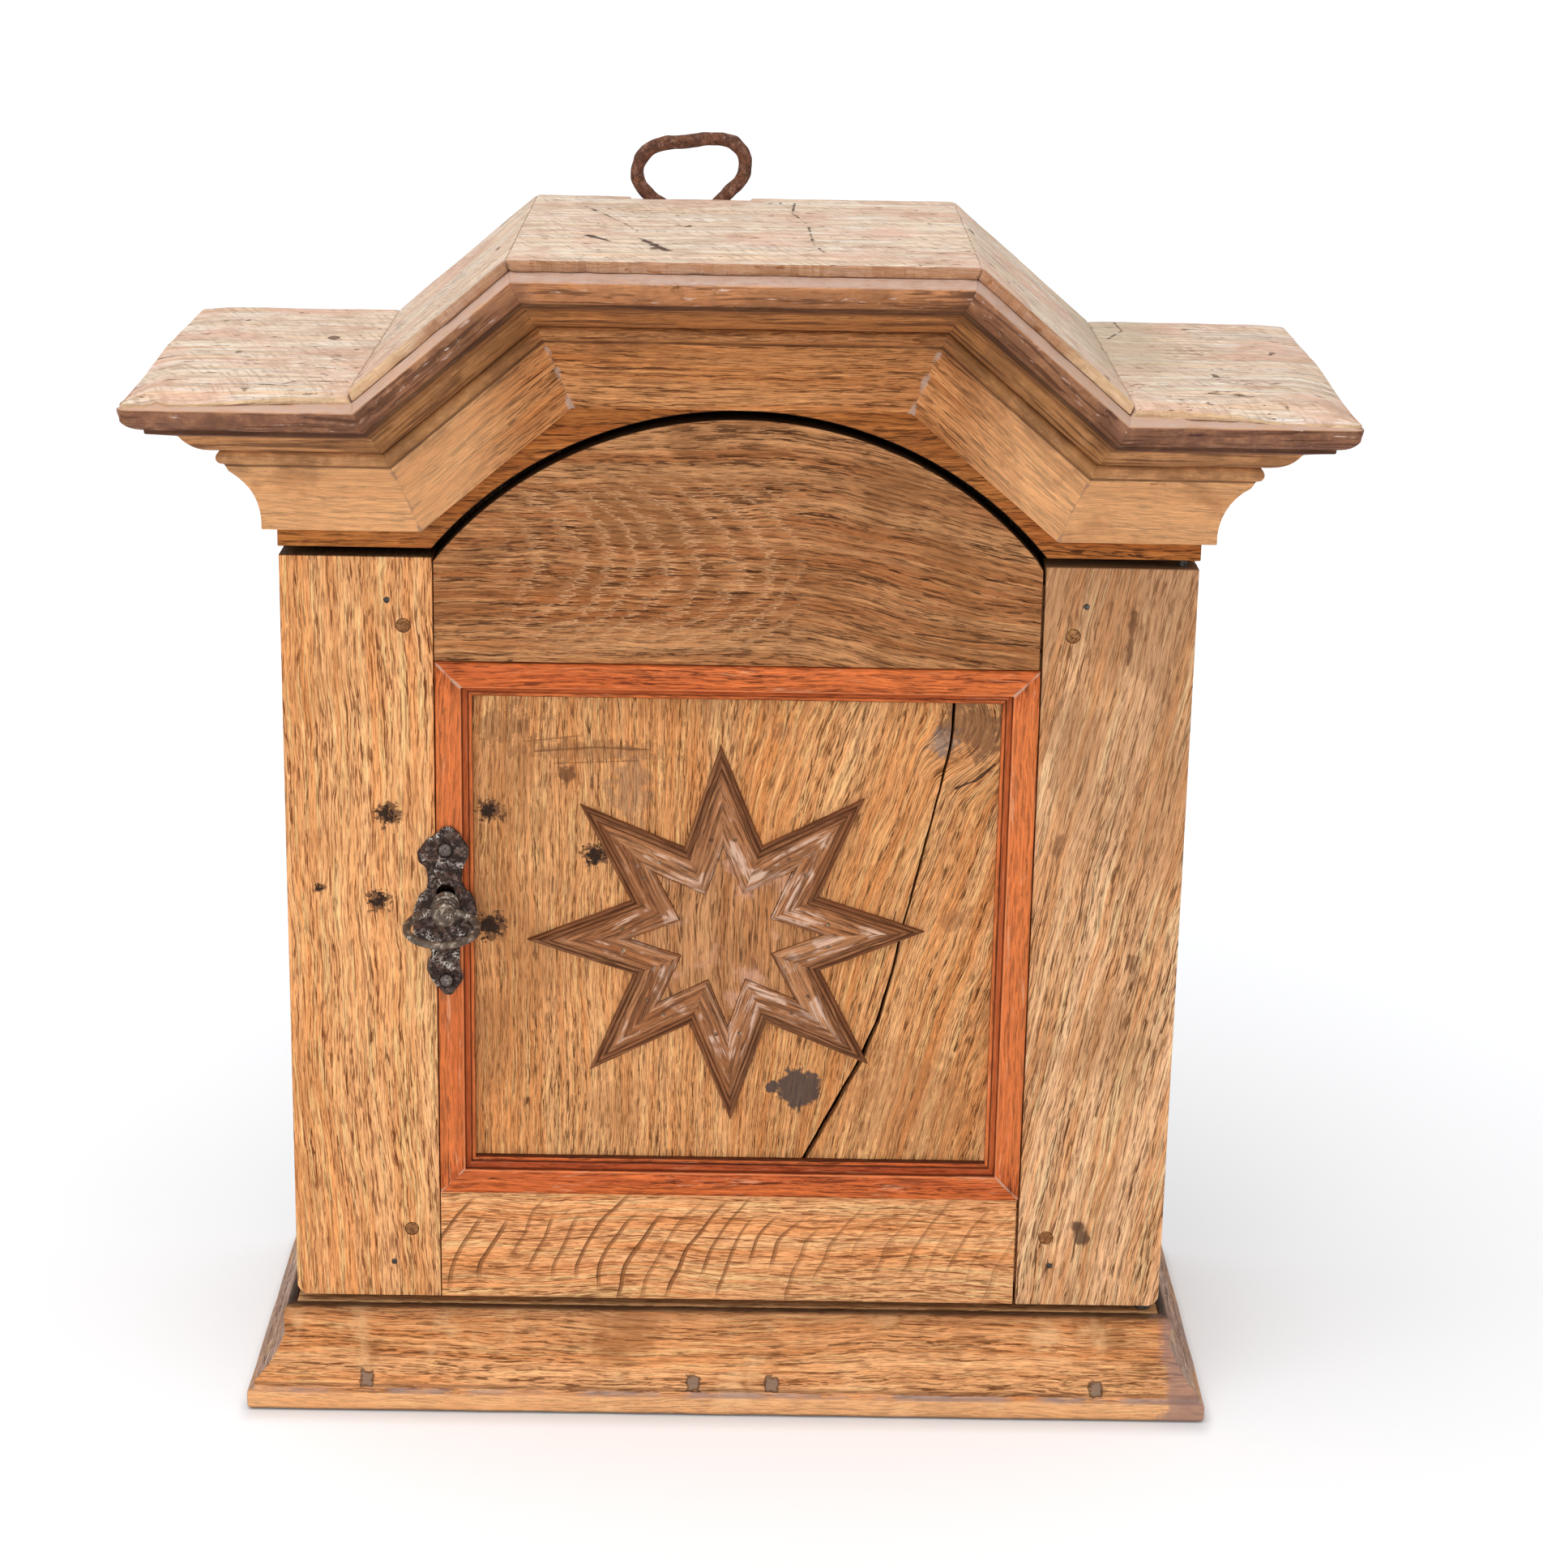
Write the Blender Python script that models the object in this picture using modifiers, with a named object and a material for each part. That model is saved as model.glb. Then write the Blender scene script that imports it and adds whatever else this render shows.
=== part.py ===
"""Oak wall cabinet with a hooded cornice, a star-panelled door, a rim lock and an iron hanging loop.

Metres, +Z up. X runs along the front from left to right, Y from the front to the wall.
The origin is under the middle of the whole object, on the surface that it stands on.
"""
import math

import bmesh
import bpy
from mathutils import Matrix, Vector

# Case
CASE_WIDTH = 0.5446
CASE_DEPTH = 0.223
SIDE_THICKNESS = 0.018
BACK_THICKNESS = 0.016
BOTTOM_THICKNESS = 0.018
HOUSING_DEPTH = 0.006
SHELF_THICKNESS = 0.015
SHELF_UNDERSIDE = 0.372
SHELF_SETBACK = 0.034
MIDDLE_BACK_WIDTH = 0.180

# Base moulding
BASE_HEIGHT = 0.0625
BASE_PROJECTION = 0.0285
BASE_FOOT_HEIGHT = 0.013
BASE_STEP_HEIGHT = 0.0185
BASE_QUIRK = 0.0042
BASE_COVE_TOP = 0.044
BASE_NECK = 0.007
BASE_LIP = 0.003
BASE_LIP_DROP = 0.0035

# Cornice: the foot of the moulding follows a flat, a rake, a raised top, a rake and a flat
CORNICE_HEIGHT = 0.087
CORNICE_PROJECTION = 0.0777
CORNICE_LIP_DROP = 0.004
HOOD_RISE = 0.075
FLAT_LENGTH = 0.0853
RAKE_RUN = 0.0885
COVE_FOOT = 0.0076
COVE_HEAD = 0.0234
COVE_HEAD_HEIGHT = 0.038
COVE_DEPTH = 0.005
BEAD_RADIUS = 0.0042
BEAD_HEIGHT = 0.0467
OVOLO_FOOT_HEIGHT = 0.0515
SOFFIT_INNER = 0.048
SOFFIT_INNER_HEIGHT = 0.063
SOFFIT_OUTER = 0.064
SOFFIT_OUTER_HEIGHT = 0.067
NOSE_FOOT = 0.066
NOSE_FOOT_HEIGHT = 0.0698

# Roof boards
ROOF_THICKNESS = 0.0065
ROOF_REACH = 0.0665

# Frieze and door
FRIEZE_GAP = 0.005
FRIEZE_BOTTOM = 0.5505
FRIEZE_BAND = 0.0115
ARCH_RISE = 0.085
DOOR_REVEAL = 0.0005
DOOR_THICKNESS = 0.024
DOOR_FOOT_GAP = 0.0045
STILE_WIDTH = 0.0903
STILE_CORNER = 0.008
RAIL_TOP_EDGE = 0.482
RAIL_BOTTOM_EDGE = 0.1385
TENON_LENGTH = 0.035
TENON_THICKNESS = 0.008
TENON_SHOULDER = 0.010
TENON_TOP_HEIGHT = 0.040
PEG_RADIUS = 0.00425
PEG_INSET = 0.0175
PEG_RISE = 0.0215
PEG_DROP = 0.0255
PIVOT_INSET = 0.009
PIVOT_RADIUS = 0.003
PIVOT_REACH = 0.018
PIVOT_COLLAR = 0.0055

# Panel, its mouldings and the star
PANEL_RECESS = 0.010
PANEL_THICKNESS = 0.010
TONGUE_THICKNESS = 0.006
TONGUE_LENGTH = 0.0075
FRAME_WIDTH = 0.0225
FRAME_PROUD = 0.003
FRAME_BAND = 0.0158
FRAME_BEAD_HEIGHT = 0.0062
FRAME_BEAD = 0.0026
STAR_POINTS = 8
STAR_OFFSET = -0.005
STAR_HEIGHT = 0.310
STAR_TIP = 0.122
STAR_NOTCH = 0.062
STAR_STRIP = 0.0215
STAR_THICKNESS = 0.006
CORE_THICKNESS = 0.004

# Lock, key and escutcheon
KEY_INSET = 0.0065
KEY_HEIGHT = 0.331
KEY_RADIUS = 0.003
KEY_COLLAR = 0.0085
KEY_COLLAR_LENGTH = 0.010
KEY_BOW_WIDTH = 0.041
KEY_BOW_LENGTH = 0.036
KEY_BOW_ROD = 0.0022
KEY_BIT_REACH = 0.0125
KEY_BIT_HEIGHT = 0.003
KEYHOLE_RADIUS = 0.0048
KEYHOLE_SLOT = 0.0044
KEYHOLE_DROP = 0.0165
ESCUTCHEON_THICKNESS = 0.002
ESCUTCHEON_TOP = 0.049
ESCUTCHEON_FOOT = 0.059
ESCUTCHEON_HALF_WIDTH = 0.020
NAIL_RADIUS = 0.0013
NAIL_HEAD = 0.004
NAIL_LENGTH = 0.011
LOCK_DEPTH = 0.0157
LOCK_WALL = 0.002
LOCK_TAIL = 0.027
LOCK_BELOW = 0.018
LOCK_HEAD_ROOM = 0.004
LOCK_GAP = 0.0025
BOLT_FOOT = 0.009
BOLT_HEIGHT = 0.014
BOLT_THICKNESS = 0.006
BOLT_SETBACK = 0.006
BOLT_TALON = 0.0075
BOLT_NOTCH_BEFORE = 0.003
BOLT_NOTCH_AFTER = 0.015
KEEPER_DEPTH = 0.0135
KEEPER_WALL = 0.002

# Hanging loop
LOOP_X = -0.035
LOOP_RADIUS = 0.004
LOOP_LEG_SPACING = 0.012
LOOP_LEG_DROP = 0.050
LOOP_NECK_DROP = 0.020
LOOP_HALF_WIDTH = 0.034
LOOP_HEIGHT = 0.0368
LOOP_INSET = 0.002
LOOP_PLAY = 0.0015
LOOP_NAIL_HEAD = 0.0058
LOOP_NAIL_RADIUS = 0.0016
LOOP_NAIL_DROPS = (0.032, 0.0445)

# Clearances and facets
SEAT = 0.0003
RUNNING_FIT = 0.0001
ROUND_STEPS = 20
ARC_STEPS = 32
BEND_STEPS = 3
CURVE_STEPS = 5

# Places that follow from the sizes above
FRONT = (CORNICE_PROJECTION + SEAT - CASE_DEPTH) / 2
WALL = FRONT + CASE_DEPTH
HALF_CASE = CASE_WIDTH / 2
INNER_SIDE = HALF_CASE - SIDE_THICKNESS
DOOR_BACK = FRONT + DOOR_THICKNESS
CASE_FRONT = DOOR_BACK + SEAT
BACK_FACE = WALL - BACK_THICKNESS
HALF_DOOR = HALF_CASE - DOOR_REVEAL
OPENING = HALF_DOOR - STILE_WIDTH
KEY_X = KEY_INSET - OPENING
DOOR_BOTTOM = BASE_HEIGHT + DOOR_FOOT_GAP
CORNICE_BOTTOM = FRIEZE_BOTTOM + FRIEZE_BAND
FLAT_MITRE = HALF_CASE - FLAT_LENGTH
HOOD_MITRE = FLAT_MITRE - RAKE_RUN
STILE_TOP = FRIEZE_BOTTOM - FRIEZE_GAP
ARCH_RADIUS = (OPENING ** 2 + ARCH_RISE ** 2) / (2 * ARCH_RISE)
ARCH_CENTRE = FRIEZE_BOTTOM + ARCH_RISE - ARCH_RADIUS
RAKE_ANGLE = math.atan2(HOOD_RISE, FLAT_MITRE - HOOD_MITRE)
ROOF_TOP = CORNICE_BOTTOM + HOOD_RISE + CORNICE_HEIGHT + SEAT + ROOF_THICKNESS
PIVOT_X = HALF_DOOR - PIVOT_INSET
PIVOT_Y = FRONT + PIVOT_INSET
PANEL_FACE = FRONT + PANEL_RECESS
PANEL_BACK = PANEL_FACE + PANEL_THICKNESS
TONGUE_FACE = PANEL_FACE + (PANEL_THICKNESS - TONGUE_THICKNESS) / 2
PLATE_BACK = FRONT - FRAME_PROUD - SEAT
PLATE_FACE = PLATE_BACK - ESCUTCHEON_THICKNESS
LOCK_LEFT = KEEPER_DEPTH + LOCK_GAP - INNER_SIDE
LOCK_RIGHT = KEY_X + LOCK_TAIL
LOCK_FRONT = DOOR_BACK + SEAT
LOCK_BACK = LOCK_FRONT + LOCK_DEPTH
BOLT_FRONT = LOCK_FRONT + BOLT_SETBACK
BOLT_BOTTOM = KEY_HEIGHT + BOLT_FOOT
BOLT_TOP = BOLT_BOTTOM + BOLT_HEIGHT
LOOP_Y = WALL - LOOP_INSET - LOOP_RADIUS
FORWARD = Vector((0, -1, 0))
UPRIGHT = Matrix.Rotation(math.pi / 2, 4, "X")


def make_collection(name):
    collection = bpy.data.collections.new(name)
    bpy.context.scene.collection.children.link(collection)
    return collection


def make_finish(name, colour, roughness, metallic=0.0):
    """A plain finish of one colour."""
    finish = bpy.data.materials.new(name)
    finish.use_nodes = True
    shader = finish.node_tree.nodes["Principled BSDF"]
    shader.inputs["Base Color"].default_value = (*colour, 1.0)
    shader.inputs["Roughness"].default_value = roughness
    shader.inputs["Metallic"].default_value = metallic
    return finish


for existing in list(bpy.data.objects):
    bpy.data.objects.remove(existing, do_unlink=True)

PIECES = make_collection("wall_cabinet")
CUTTERS = make_collection("cutters")
HONEY_OAK = make_finish("honey_oak", (0.46, 0.25, 0.10), 0.60)
BROWN_OAK = make_finish("brown_oak", (0.33, 0.17, 0.07), 0.62)
RED_OAK = make_finish("red_stained_oak", (0.38, 0.08, 0.02), 0.45)
DUSTY_OAK = make_finish("dusty_oak", (0.55, 0.40, 0.29), 0.85)
FORGED_IRON = make_finish("forged_iron", (0.10, 0.09, 0.09), 0.55, 0.8)
RUSTY_IRON = make_finish("rusty_iron", (0.20, 0.09, 0.05), 0.75, 0.5)
KEY_STEEL = make_finish("key_steel", (0.22, 0.20, 0.18), 0.40, 0.9)


def place(piece, name, finish, collection=PIECES):
    """Names a piece, gives it its finish and files it in a collection."""
    piece.name = name
    piece.data.name = name
    if finish:
        piece.data.materials.clear()
        piece.data.materials.append(finish)
    collection.objects.link(piece)
    return piece


def hide_tool(tool):
    tool.hide_render = True
    tool.display_type = "WIRE"
    return tool


def block(name, low, high, finish=None, collection=PIECES):
    """A rectangular board between two corners, with its origin in its middle."""
    low, high = Vector(low), Vector(high)
    shape = bmesh.new()
    bmesh.ops.create_cube(shape, size=1.0)
    bmesh.ops.scale(shape, vec=high - low, verts=shape.verts)
    mesh = bpy.data.meshes.new(name)
    shape.to_mesh(mesh)
    shape.free()
    piece = bpy.data.objects.new(name, mesh)
    piece.location = (low + high) / 2
    return place(piece, name, finish, collection)


def as_mesh(curve):
    """Turns a curve object into a closed mesh object in the same place."""
    bpy.context.scene.collection.objects.link(curve)
    graph = bpy.context.evaluated_depsgraph_get()
    mesh = bpy.data.meshes.new_from_object(curve.evaluated_get(graph))
    shape = bmesh.new()
    shape.from_mesh(mesh)
    bmesh.ops.remove_doubles(shape, verts=shape.verts, dist=1e-6)
    bmesh.ops.recalc_face_normals(shape, faces=shape.faces)
    shape.to_mesh(mesh)
    shape.free()
    solid = bpy.data.objects.new(curve.name, mesh)
    solid.matrix_world = curve.matrix_world
    bpy.data.objects.remove(curve, do_unlink=True)
    return solid


def flat_curve(outline, half_thickness, placement):
    """A filled flat outline, extruded evenly to both sides of its plane."""
    curve = bpy.data.curves.new("outline", "CURVE")
    curve.dimensions = "2D"
    curve.fill_mode = "BOTH"
    curve.extrude = half_thickness
    line = curve.splines.new("POLY")
    line.points.add(len(outline) - 1)
    for point, (x, y) in zip(line.points, outline):
        point.co = (x, y, 0.0, 1.0)
    line.use_cyclic_u = True
    drawn = bpy.data.objects.new("outline", curve)
    drawn.matrix_world = placement
    return drawn


def upright_plate(name, outline, front, back, finish=None, collection=PIECES):
    """A board cut to an outline in the plane of the front, between two depths."""
    middle = Matrix.Translation((0, (front + back) / 2, 0))
    solid = as_mesh(flat_curve(outline, (back - front) / 2, middle @ UPRIGHT))
    return place(solid, name, finish, collection)


def turned(name, profile, placement, finish=None, collection=PIECES):
    """A turned piece: its profile runs from the top to the bottom, from axis to axis."""
    mesh = bpy.data.meshes.new(name)
    verts = [(radius, 0.0, height) for radius, height in profile]
    edges = [(index, index + 1) for index in range(len(verts) - 1)]
    mesh.from_pydata(verts, edges, [])
    piece = bpy.data.objects.new(name, mesh)
    screw = piece.modifiers.new("turning", "SCREW")
    screw.steps = screw.render_steps = ROUND_STEPS
    screw.use_merge_vertices = True
    screw.merge_threshold = 1e-5
    screw.use_smooth_shade = True
    piece.matrix_world = placement
    return place(piece, name, finish, collection)


def peg(name, place_from, place_to, radius, finish=None, collection=PIECES):
    """A round pin between two points."""
    start, end = Vector(place_from), Vector(place_to)
    length = (end - start).length
    turn = Vector((0, 0, 1)).rotation_difference(end - start).to_matrix().to_4x4()
    profile = [(0, length), (radius, length), (radius, 0), (0, 0)]
    return turned(name, profile, Matrix.Translation(start) @ turn, finish, collection)


def rod(points, radius, closed=False):
    """A round rod bent along a list of points."""
    curve = bpy.data.curves.new("rod", "CURVE")
    curve.dimensions = "3D"
    curve.bevel_depth = radius
    curve.bevel_resolution = 2
    curve.use_fill_caps = True
    line = curve.splines.new("BEZIER")
    line.bezier_points.add(len(points) - 1)
    for point, spot in zip(line.bezier_points, points):
        point.co = spot
        point.handle_left_type = point.handle_right_type = "AUTO"
    line.resolution_u = BEND_STEPS
    line.use_cyclic_u = closed
    return as_mesh(bpy.data.objects.new("rod", curve))


def combine(piece, tool, operation):
    step = piece.modifiers.new(f"{operation.lower()}_{tool.name}", "BOOLEAN")
    step.operation = operation
    step.solver = "EXACT"
    step.object = tool


def cut(piece, *tools):
    for tool in tools:
        combine(piece, tool, "DIFFERENCE")


def fuse(piece, *additions):
    for addition in additions:
        combine(piece, addition, "UNION")


def cutter_block(name, low, high):
    return hide_tool(block(name, low, high, collection=CUTTERS))


def cutter_peg(name, place_from, place_to, radius):
    return hide_tool(peg(name, place_from, place_to, radius, collection=CUTTERS))


def arc(centre, radius, start, end, steps):
    """Points of a circular arc, with both ends."""
    angles = [start + (end - start) * step / steps for step in range(steps + 1)]
    return [(centre[0] + radius * math.cos(a), centre[1] + radius * math.sin(a)) for a in angles]


def bow(start, end, depth, steps=CURVE_STEPS):
    """Points of an arc from start to end that bulges by depth to the left of the way."""
    first, last = Vector(start), Vector(end)
    chord = last - first
    side = Vector((-chord.y, chord.x)).normalized()
    radius = (chord.length ** 2 / 4 + depth ** 2) / (2 * abs(depth))
    lean = math.copysign(1, depth)
    centre = (first + last) / 2 + side * (depth - lean * radius)
    half = math.asin(min(1.0, chord.length / (2 * radius)))
    middle = math.atan2(lean * side.y, lean * side.x)
    return arc(centre, radius, middle + lean * half, middle - lean * half, steps)


def moulding(name, profile, start, end, outward, before, after, finish):
    """A length of moulding, mitred against the runs before and after it, or square where there is none.

    The profile is a list of (projection, height) from the line between start and end.
    """
    start, end = Vector(start), Vector(end)
    along = (end - start).normalized()
    up = outward.cross(along)
    reach = max(max(point) for point in profile) * 2
    axes = Matrix((up, outward, along)).transposed().to_4x4()
    placement = Matrix.Translation((start + end) / 2) @ axes
    outline = [(height, projection) for projection, height in profile]
    half_length = (end - start).length / 2 + reach
    solid = as_mesh(flat_curve(outline, half_length, placement))
    ends = ((start, -along, -before if before else None), (end, along, after))
    shape = bmesh.new()
    shape.from_mesh(solid.data)
    for corner, leaving, neighbour in ends:
        normal = (leaving + neighbour).normalized() if neighbour else leaving
        corner = corner - normal * (SEAT / 2 if neighbour else 0)
        local = placement.inverted()
        bmesh.ops.bisect_plane(
            shape, geom=shape.verts[:] + shape.edges[:] + shape.faces[:], clear_outer=True,
            plane_co=local @ corner, plane_no=local.to_3x3() @ normal)
        rim = [edge for edge in shape.edges if edge.is_boundary]
        bmesh.ops.holes_fill(shape, edges=rim, sides=0)
    bmesh.ops.recalc_face_normals(shape, faces=shape.faces)
    shape.to_mesh(solid.data)
    shape.free()
    return place(solid, name, finish)


def hood_line(offset):
    """The four corners of the hood, at a distance square to the foot of the cornice."""
    shift = offset * math.tan(RAKE_ANGLE / 2)
    flat, raised = CORNICE_BOTTOM + offset, CORNICE_BOTTOM + HOOD_RISE + offset
    outer, inner = FLAT_MITRE + shift, HOOD_MITRE + shift
    return [(-outer, flat), (-inner, raised), (inner, raised), (outer, flat)]


def arch_height(x, radius):
    return ARCH_CENTRE + math.sqrt(radius ** 2 - x ** 2)


def arch_line(half_width, radius):
    """Points over the arch, from left to right."""
    lean = math.asin(half_width / radius)
    quarter = math.pi / 2
    return arc((0, ARCH_CENTRE), radius, quarter + lean, quarter - lean, ARC_STEPS)


def make_case():
    """Sides, plinth rail, bottom, shelf and back."""
    floor_low = (-INNER_SIDE - HOUSING_DEPTH, CASE_FRONT, BASE_HEIGHT - BOTTOM_THICKNESS)
    floor_high = (INNER_SIDE + HOUSING_DEPTH, BACK_FACE - SEAT, BASE_HEIGHT)
    shelf_low = (floor_low[0], DOOR_BACK + SHELF_SETBACK, SHELF_UNDERSIDE)
    shelf_high = (floor_high[0], BACK_FACE - SEAT, SHELF_UNDERSIDE + SHELF_THICKNESS)
    block("bottom_board", floor_low, floor_high, HONEY_OAK)
    block("shelf", shelf_low, shelf_high, HONEY_OAK)
    grow = Vector((SEAT, SEAT, SEAT))
    open_front = Vector((0, SIDE_THICKNESS, 0))
    floor_groove = cutter_block("floor_groove", Vector(floor_low) - grow - open_front, Vector(floor_high) + grow)
    shelf_groove = cutter_block("shelf_groove", Vector(shelf_low) - grow, Vector(shelf_high) + grow + open_front)
    top = CORNICE_BOTTOM + CORNICE_HEIGHT
    for name, inner, outer in (("side_left", -INNER_SIDE, -HALF_CASE), ("side_right", INNER_SIDE, HALF_CASE)):
        low = (min(inner, outer), CASE_FRONT, 0)
        side = block(name, low, (max(inner, outer), BACK_FACE - SEAT, top), HONEY_OAK)
        cut(side, floor_groove, shelf_groove)
    rail = block("plinth_rail", (-HALF_CASE, FRONT, 0), (HALF_CASE, DOOR_BACK, BASE_HEIGHT), BROWN_OAK)
    cut(rail, pivot_hole(BASE_HEIGHT))
    make_back(top)


def make_back(flat_top):
    """Three upright back boards, cut at the top to the line of the roof."""
    corners = hood_line(CORNICE_HEIGHT)
    split = MIDDLE_BACK_WIDTH / 2
    raised = corners[1][1]
    edge = split + SEAT
    left = [(-HALF_CASE, 0), (-edge, 0), (-edge, raised), corners[1], corners[0], (-HALF_CASE, flat_top)]
    right = [(-x, z) for x, z in reversed(left)]
    middle = [(-split, 0), (split, 0), (split, raised), (-split, raised)]
    upright_plate("back_board_left", left, BACK_FACE, WALL, DUSTY_OAK)
    upright_plate("back_board_right", right, BACK_FACE, WALL, DUSTY_OAK)
    board = upright_plate("back_board_middle", middle, BACK_FACE, WALL, DUSTY_OAK)
    cut(board, *loop_recess())
    for drop in LOOP_NAIL_DROPS:
        cut(board, loop_nail_hole(drop))


def base_profile():
    """The base moulding, as (projection, height)."""
    step = BASE_PROJECTION - BASE_QUIRK
    cove = bow((step, BASE_STEP_HEIGHT), (BASE_NECK, BASE_COVE_TOP), BASE_NECK / 3)
    lip = bow((BASE_NECK, BASE_HEIGHT - BASE_LIP_DROP), (BASE_LIP, BASE_HEIGHT), -BASE_LIP_DROP / 4)
    foot = [(0, 0), (BASE_PROJECTION, 0), (BASE_PROJECTION, BASE_FOOT_HEIGHT), (step, BASE_FOOT_HEIGHT)]
    return foot + cove + lip + [(0, BASE_HEIGHT)]


def make_base():
    """The base moulding round the front and both sides."""
    edge, face = HALF_CASE + SEAT, FRONT - SEAT
    corners = [(-edge, WALL, 0), (-edge, face, 0), (edge, face, 0), (edge, WALL, 0)]
    names = ["base_moulding_left", "base_moulding_front", "base_moulding_right"]
    run_mouldings(names, base_profile(), corners, HONEY_OAK)


def run_mouldings(names, profile, corners, finish, closed=False):
    """Lengths of moulding along a line of corners, walked with the case on the left hand."""
    corners = [Vector(corner) for corner in corners]
    count = len(names)
    if closed:
        corners.append(corners[0])
    ways = [(corners[i + 1] - corners[i]).normalized() for i in range(count)]
    for i, name in enumerate(names):
        before = ways[i - 1] if i or closed else None
        after = ways[(i + 1) % count] if i + 1 < count or closed else None
        outward = FORWARD if abs(ways[i].y) < 0.5 else Vector((ways[i].y, 0, 0))
        moulding(name, profile, corners[i], corners[i + 1], outward, before, after, finish)


def cornice_profile():
    """The cornice moulding from the foot of its cove to its sloping top, as (projection, height)."""
    cove = bow((COVE_FOOT, 0), (COVE_HEAD, COVE_HEAD_HEIGHT), COVE_DEPTH)
    bead_back = COVE_HEAD + BEAD_RADIUS / 2
    bead = arc((bead_back, BEAD_HEIGHT), BEAD_RADIUS, -math.pi / 2, math.pi / 2, CURVE_STEPS)
    ovolo_depth = -(SOFFIT_INNER - bead_back) / 6
    ovolo = bow((bead_back, OVOLO_FOOT_HEIGHT), (SOFFIT_INNER, SOFFIT_INNER_HEIGHT), ovolo_depth)
    lip_height = CORNICE_HEIGHT - CORNICE_LIP_DROP
    nose_depth = -(CORNICE_PROJECTION - NOSE_FOOT) / 4
    nose = bow((NOSE_FOOT, NOSE_FOOT_HEIGHT), (CORNICE_PROJECTION, lip_height), nose_depth)
    quirk = (SOFFIT_OUTER, SOFFIT_OUTER_HEIGHT)
    top = [(ROOF_REACH, CORNICE_HEIGHT), (0, CORNICE_HEIGHT)]
    return [(0, 0)] + cove + bead + ovolo + [quirk, (SOFFIT_OUTER, NOSE_FOOT_HEIGHT)] + nose + top


def make_cornice():
    """Seven mitred lengths of one moulding, and the frieze board behind the five in front."""
    edge, face = HALF_CASE + SEAT, FRONT - SEAT
    front_line = [(-edge, CORNICE_BOTTOM)] + hood_line(0) + [(edge, CORNICE_BOTTOM)]
    corners = [(-edge, WALL, CORNICE_BOTTOM)]
    corners += [(x, face, z) for x, z in front_line]
    corners.append((edge, WALL, CORNICE_BOTTOM))
    lengths = ["return_left", "flat_left", "rake_left", "top", "rake_right", "flat_right", "return_right"]
    run_mouldings([f"cornice_{length}" for length in lengths], cornice_profile(), corners, HONEY_OAK)
    top = CORNICE_BOTTOM + CORNICE_HEIGHT
    outline = [(-HALF_CASE, FRIEZE_BOTTOM)] + arch_line(OPENING, ARCH_RADIUS)
    outline += [(HALF_CASE, FRIEZE_BOTTOM), (HALF_CASE, top)]
    outline += list(reversed(hood_line(CORNICE_HEIGHT))) + [(-HALF_CASE, top)]
    frieze = upright_plate("frieze_board", outline, FRONT, DOOR_BACK, HONEY_OAK)
    cut(frieze, pivot_hole(FRIEZE_BOTTOM))


def make_roof():
    """Five thin boards on the cornice and the back, mitred along the hood."""
    end = HALF_CASE + ROOF_REACH
    under = CORNICE_HEIGHT + SEAT
    lower = hood_line(under)
    upper = hood_line(under + ROOF_THICKNESS)
    lower = [(-end, lower[0][1])] + lower + [(end, lower[0][1])]
    upper = [(-end, upper[0][1])] + upper + [(end, upper[0][1])]
    names = ["roof_flat_left", "roof_slope_left", "roof_top", "roof_slope_right", "roof_flat_right"]
    for i, name in enumerate(names):
        way = (Vector(lower[i + 1]) - Vector(lower[i])).normalized() * (SEAT / 2)
        start = [Vector(upper[i]) + way, Vector(lower[i]) + way]
        outline = start + [Vector(lower[i + 1]) - way, Vector(upper[i + 1]) - way]
        board = upright_plate(name, outline, FRONT - ROOF_REACH, WALL, DUSTY_OAK)
        if name == "roof_top":
            cut(board, *loop_recess())


def pivot_hole(height):
    """The bore for a pivot pin, above and below the given height."""
    reach = PIVOT_REACH + DOOR_FOOT_GAP + FRIEZE_GAP + SEAT
    ends = (height - reach, height + reach)
    low, high = [(PIVOT_X, PIVOT_Y, end) for end in ends]
    return cutter_peg("pivot_hole", low, high, PIVOT_RADIUS + RUNNING_FIT)


def make_pivots():
    """Two iron pins that the hinge stile turns on. The lower one has a collar that bears the door."""
    upright = Matrix.Translation((PIVOT_X, PIVOT_Y, 0))
    low, high = STILE_TOP - PIVOT_REACH, FRIEZE_BOTTOM + PIVOT_REACH
    pin = [(0, high), (PIVOT_RADIUS, high), (PIVOT_RADIUS, low), (0, low)]
    turned("pivot_pin_upper", pin, upright, FORGED_IRON)
    low, high = BASE_HEIGHT - PIVOT_REACH, DOOR_BOTTOM + PIVOT_REACH
    bearing, foot = DOOR_BOTTOM - SEAT, BASE_HEIGHT + SEAT
    pin = [(0, high), (PIVOT_RADIUS, high), (PIVOT_RADIUS, bearing), (PIVOT_COLLAR, bearing)]
    pin += [(PIVOT_COLLAR, foot), (PIVOT_RADIUS, foot), (PIVOT_RADIUS, low), (0, low)]
    turned("pivot_pin_lower", pin, upright, FORGED_IRON)


def round_corner(piece, side, radius):
    """Rounds the lower outer corner of a stile, seen from the front."""
    shape = bmesh.new()
    shape.from_mesh(piece.data)
    low = min(vert.co.z for vert in shape.verts)
    corner = [edge for edge in shape.edges
              if all(abs(vert.co.z - low) < SEAT and vert.co.x * side > 0 for vert in edge.verts)]
    bmesh.ops.bevel(shape, geom=corner, offset=radius, segments=CURVE_STEPS, profile=0.5, affect="EDGES")
    shape.to_mesh(piece.data)
    shape.free()


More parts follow.
